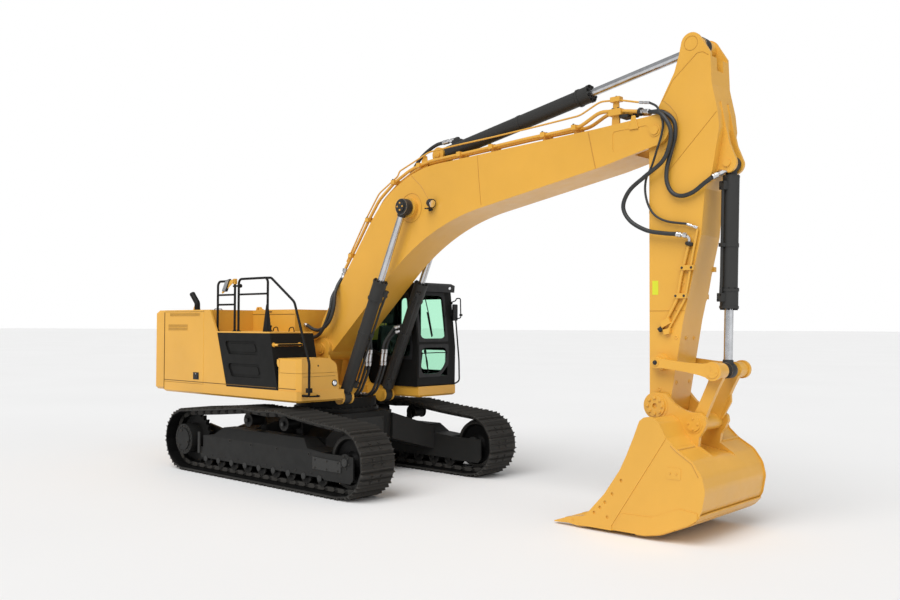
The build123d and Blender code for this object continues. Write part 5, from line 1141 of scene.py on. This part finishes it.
def build_cab_inside():
    """Joysticks, pedals, levers and monitor."""
    dark, screen = shapes(2)
    grip = ((0, 0.02), (0.02, 0.027), (0.06, 0.026), (0.085, 0.020), (0.095, 0.008))
    for y in (0.70, 1.36):
        tube(dark, flowing(lay([(0.59, 2.00), (0.592, 2.06), (0.60, 2.11)], y)), 0.020, 12)
        turned(dark, at(0.60, y, 2.10), (0.1, 0, 1), grip, 16)
        turned(dark, at(0.59, y, 1.985), (0, 0, 1), ((0, 0.05), (0.02, 0.045), (0.05, 0.022)), 18)
    for y in (0.94, 1.12):
        tube(dark, flowing(lay([(1.10, 1.49), (1.06, 1.66), (1.02, 1.80), (0.99, 1.98)], y)), 0.012)
        turned(dark, at(0.99, y, 1.96), (-0.2, 0, 1), ((0, 0.018), (0.04, 0.024), (0.07, 0.018)), 14)
        pedal = [(0.98, y - 0.05, 1.50), (1.13, y - 0.05, 1.60), (1.13, y + 0.05, 1.60), (0.98, y + 0.05, 1.50)]
        prism(dark, spots(pedal), (0.006, 0, -0.012))
    case = [(1.02, 0.67, 2.12), (1.06, 0.86, 2.12), (1.03, 0.86, 2.30), (0.99, 0.67, 2.30)]
    prism(dark, spots(case), (0.035, -0.005, 0.004))
    tube(dark, spots([(1.06, 0.76, 2.14), (1.12, 0.72, 2.00), (1.14, 0.69, 1.80)]), 0.014)
    piece("cab_controls", dark, "house", CAB_PLASTIC, 0.003)
    face = [(1.0165, 0.68, 2.135), (1.0535, 0.85, 2.135), (1.026, 0.85, 2.285), (0.989, 0.68, 2.285)]
    prism(screen, spots(face), (-0.002, 0, 0))
    piece("cab_screen", screen, "house", SCREEN)


# Undercarriage


def shoe_flats(track):
    """Middle and outward direction of each flat between the bars of a track's shoes."""
    flats = {}
    mesh = track.data
    for face in mesh.polygons:
        corners = [track.matrix_world @ mesh.vertices[index].co for index in face.vertices]
        across = [corner.y for corner in corners]
        ends = {(round(corner.x, 4), round(corner.z, 4)) for corner in corners}
        if len(ends) != 2 or max(across) - min(across) < 0.6:
            continue
        (x0, z0), (x1, z1) = ends
        if 0.055 < math.hypot(x1 - x0, z1 - z0) < 0.075:
            normal = track.matrix_world.to_3x3() @ face.normal
            middle = (round((x0 + x1) / 2, 3), round((z0 + z1) / 2, 3))
            flats[middle] = Vector((normal.x, 0, normal.z)).normalized()
    return flats


def build_track_details():
    """Shoe bolts, and the link plates and pin heads of each chain."""
    outline = [(-0.085, -0.030), (-0.05, -0.041), (0.05, -0.041), (0.09, -0.03), (0.10, 0.0), (0.06, 0.022),
               (-0.06, 0.022), (-0.095, 0.0)]
    for side, letter in SIDES:
        bolts, links = shapes(2)
        middle = side * TRACK_Y
        flats = shoe_flats(frame["nodes"][f"track_{letter}"])
        for (x, z), normal in flats.items():
            for y in (-0.085, 0.085):
                head = ((-0.001, 0.021), (0.012, 0.021), (0.015, 0.016))
                turned(bolts, Vector((x, middle + y, z)), normal, head, 6)
            forward = Vector((normal.z, 0, -normal.x))
            here = Vector((x, 0, z))
            mates = [Vector((mx, 0, mz)) for mx, mz in flats if (mx, mz) != (x, z)]
            mate = min(mates, key=lambda other: (other - here).length)
            if (mate - here).dot(forward) < 0:
                continue
            root = (here + mate) / 2 - normal * 0.055
            for y in (-0.118, 0.118):
                centre = Vector((root.x, middle + y, root.z))
                lean = math.copysign(0.009, y)
                prism(links, [centre + forward * u + normal * v for u, v in outline], (0, lean, 0))
                pin = centre + forward * 0.083 - normal * 0.006
                turned(links, pin, (0, lean, 0), ((0.006, 0.030), (0.016, 0.028), (0.018, 0.02)), 14)
        piece(f"shoe_bolts_{letter}", bolts, "undercarriage", TRACK)
        piece(f"chain_links_{letter}", links, "undercarriage", TRACK)


def build_frame_details():
    """Bolts and covers of the track frames, drives and turntable."""
    bolts, covers = shapes(2)
    for side in (-1, 1):
        outer = side * FRAME_Y
        out = (0, side, 0)
        plug = ((0, 0.026), (0.006, 0.026), (0.007, 0.015), (0.003, 0.014))
        for x, z in ((-0.77, 0.58), (1.21, 0.563), (-0.2, 0.57), (0.45, 0.57)):
            turned(bolts, at(x, outer, z), out, plug, 16)
        box(covers, (-1.66, -1.60), (outer, side * 1.585), (0.31, 0.66))
        low, high = sorted((outer, side * 1.572))
        side_plate(covers, [(1.30, 0.36), (1.92, 0.36), (1.92, 0.52), (1.30, 0.54)], low, high - low)
        for x in (1.36, 1.62, 1.86):
            for z in (0.385, 0.50):
                bolt(bolts, at(x, side * 1.572, z), out, 0.012)
        cap = ((0, 0.05), (0.008, 0.048), (0.012, 0.03), (0.012, 0.001))
        for index in range(9):
            turned(covers, at(-1.45 + 2.9 * index / 8, outer, 0.232), out, cap, 20)
        for x in (-1.27, -0.91, -0.55, -0.18, 0.18, 0.55, 0.91, 1.27):
            bolt(bolts, at(x, outer, 0.30), out, 0.011)
        bolt_circle(bolts, at(-AXLE_X, side * 1.632, AXLE_Z), out, 0.215, 18, 0.013)
        bolt_circle(bolts, at(-AXLE_X, side * 1.65, AXLE_Z), out, 0.15, 3, 0.016)
        bolt_circle(bolts, at(AXLE_X, outer, AXLE_Z), out, 0.085, 6, 0.013)
        cap = ((0, 0.06), (0.02, 0.058), (0.026, 0.04), (0.026, 0.001))
        turned(covers, at(AXLE_X, outer, AXLE_Z), out, cap, 28)
        for x in (0.54, -0.37):
            turned(covers, at(x, side * 1.532, 0.94), out, ((0, 0.034), (0.010, 0.03), (0.012, 0.01)), 20)
    for index in range(40):
        angle = math.tau * index / 40
        bolt(bolts, at(0.68 * math.cos(angle), 0.68 * math.sin(angle), 1.10), (0, 0, 1), 0.012)
    for along in (-1, 1):
        near, far = along * 0.822, along * 0.834
        side_plate(covers, [(near, 0.70), (near, 0.96), (far, 0.96), (far, 0.70)], -0.30, 0.60)
        for y in (-0.27, 0.27):
            for z in (0.73, 0.93):
                bolt(bolts, at(far, y, z), (along, 0, 0), 0.013)
    piece("frame_bolts", bolts, "undercarriage", TRACK)
    piece("frame_covers", covers, "undercarriage", BLACK, 0.004)


# Floor, light and camera


def build_floor():
    """Plain pale floor, so wide that its edge shows in no view."""
    mesh = bpy.data.meshes.new("floor")
    shape = bmesh.new()
    bmesh.ops.create_grid(shape, x_segments=8, y_segments=8, size=500)
    shape.to_mesh(mesh)
    shape.free()
    floor = bpy.data.objects.new("floor", mesh)
    bpy.context.scene.collection.objects.link(floor)
    nodes = Nodes("studio_floor")
    nodes.vary("Base Color", nodes.noise(0.15, 2), (0.84, 0.84, 0.84), (0.86, 0.86, 0.86))
    nodes.set(roughness=0.75)
    mesh.materials.append(nodes.material)


def build_light():
    """Even white surroundings, dimmer as light than as backdrop, and two broad soft lamps."""
    world = bpy.data.worlds.new("studio")
    world.use_nodes = True
    nodes, links = world.node_tree.nodes, world.node_tree.links
    backdrop = nodes["Background"]
    backdrop.inputs["Color"].default_value = (1, 1, 1, 1)
    # Strength is the light's share, and the rest is added where a ray sees the backdrop itself
    light_share = 0.40
    ray = nodes.new("ShaderNodeLightPath")
    seen = nodes.new("ShaderNodeMath")
    seen.operation = "MAXIMUM"
    strength = nodes.new("ShaderNodeMath")
    strength.operation = "MULTIPLY_ADD"
    strength.inputs[1].default_value = 1 - light_share
    strength.inputs[2].default_value = light_share
    links.new(ray.outputs["Is Camera Ray"], seen.inputs[0])
    links.new(ray.outputs["Is Transmission Ray"], seen.inputs[1])
    links.new(seen.outputs[0], strength.inputs[0])
    links.new(strength.outputs[0], backdrop.inputs["Strength"])
    bpy.context.scene.world = world
    for name, energy, spread, heading in (
        ("softbox", 2.6, 50, (-0.15, 0.64, -0.75)),
        ("front_fill", 0.75, 70, (-0.90, 0.10, -0.20)),
    ):
        lamp = bpy.data.lights.new(name, "SUN")
        lamp.energy = energy
        lamp.angle = math.radians(spread)
        light = bpy.data.objects.new(name, lamp)
        light.rotation_euler = Vector(heading).to_track_quat("-Z", "Y").to_euler()
        bpy.context.scene.collection.objects.link(light)
    bpy.context.scene.view_settings.view_transform = "Standard"


def build_camera():
    """Camera at the photograph's viewing angle, with a focal length given in its pixels."""
    place = at(11.672, -10.0922, 2.4414)
    yaw, pitch, roll = (math.radians(angle) for angle in (132.088, 1.594, 0.206))
    focal_pixels, image_width, sensor = 912.88, 900, 36
    forward = Vector((math.cos(pitch) * math.cos(yaw), math.cos(pitch) * math.sin(yaw), math.sin(pitch)))
    right = forward.cross(Vector((0, 0, 1))).normalized()
    up = right.cross(forward)
    tilted_right = right * math.cos(roll) + up * math.sin(roll)
    tilted_up = up * math.cos(roll) - right * math.sin(roll)
    data = bpy.data.cameras.new("camera")
    data.sensor_fit = "HORIZONTAL"
    data.sensor_width = sensor
    data.lens = focal_pixels / image_width * sensor
    data.clip_end = 500
    camera = bpy.data.objects.new("camera", data)
    turn = Matrix((tilted_right, tilted_up, -forward)).transposed().to_4x4()
    camera.matrix_world = Matrix.Translation(place) @ turn
    bpy.context.scene.collection.objects.link(camera)
    bpy.context.scene.camera = camera


build_boom_pipes()
build_knee_hose()
build_boom_details()
build_stick_details()
build_crossing_hoses()
build_cylinders()
build_bucket_details()
build_side_doors()
build_hood_details()
build_tail_details()
build_walkway_details()
build_toolbox_details()
build_foot_hoses()
build_cab_windows()
build_cab_outside()
build_seat()
build_cab_inside()
build_track_details()
build_frame_details()
build_floor()
build_light()
build_camera()
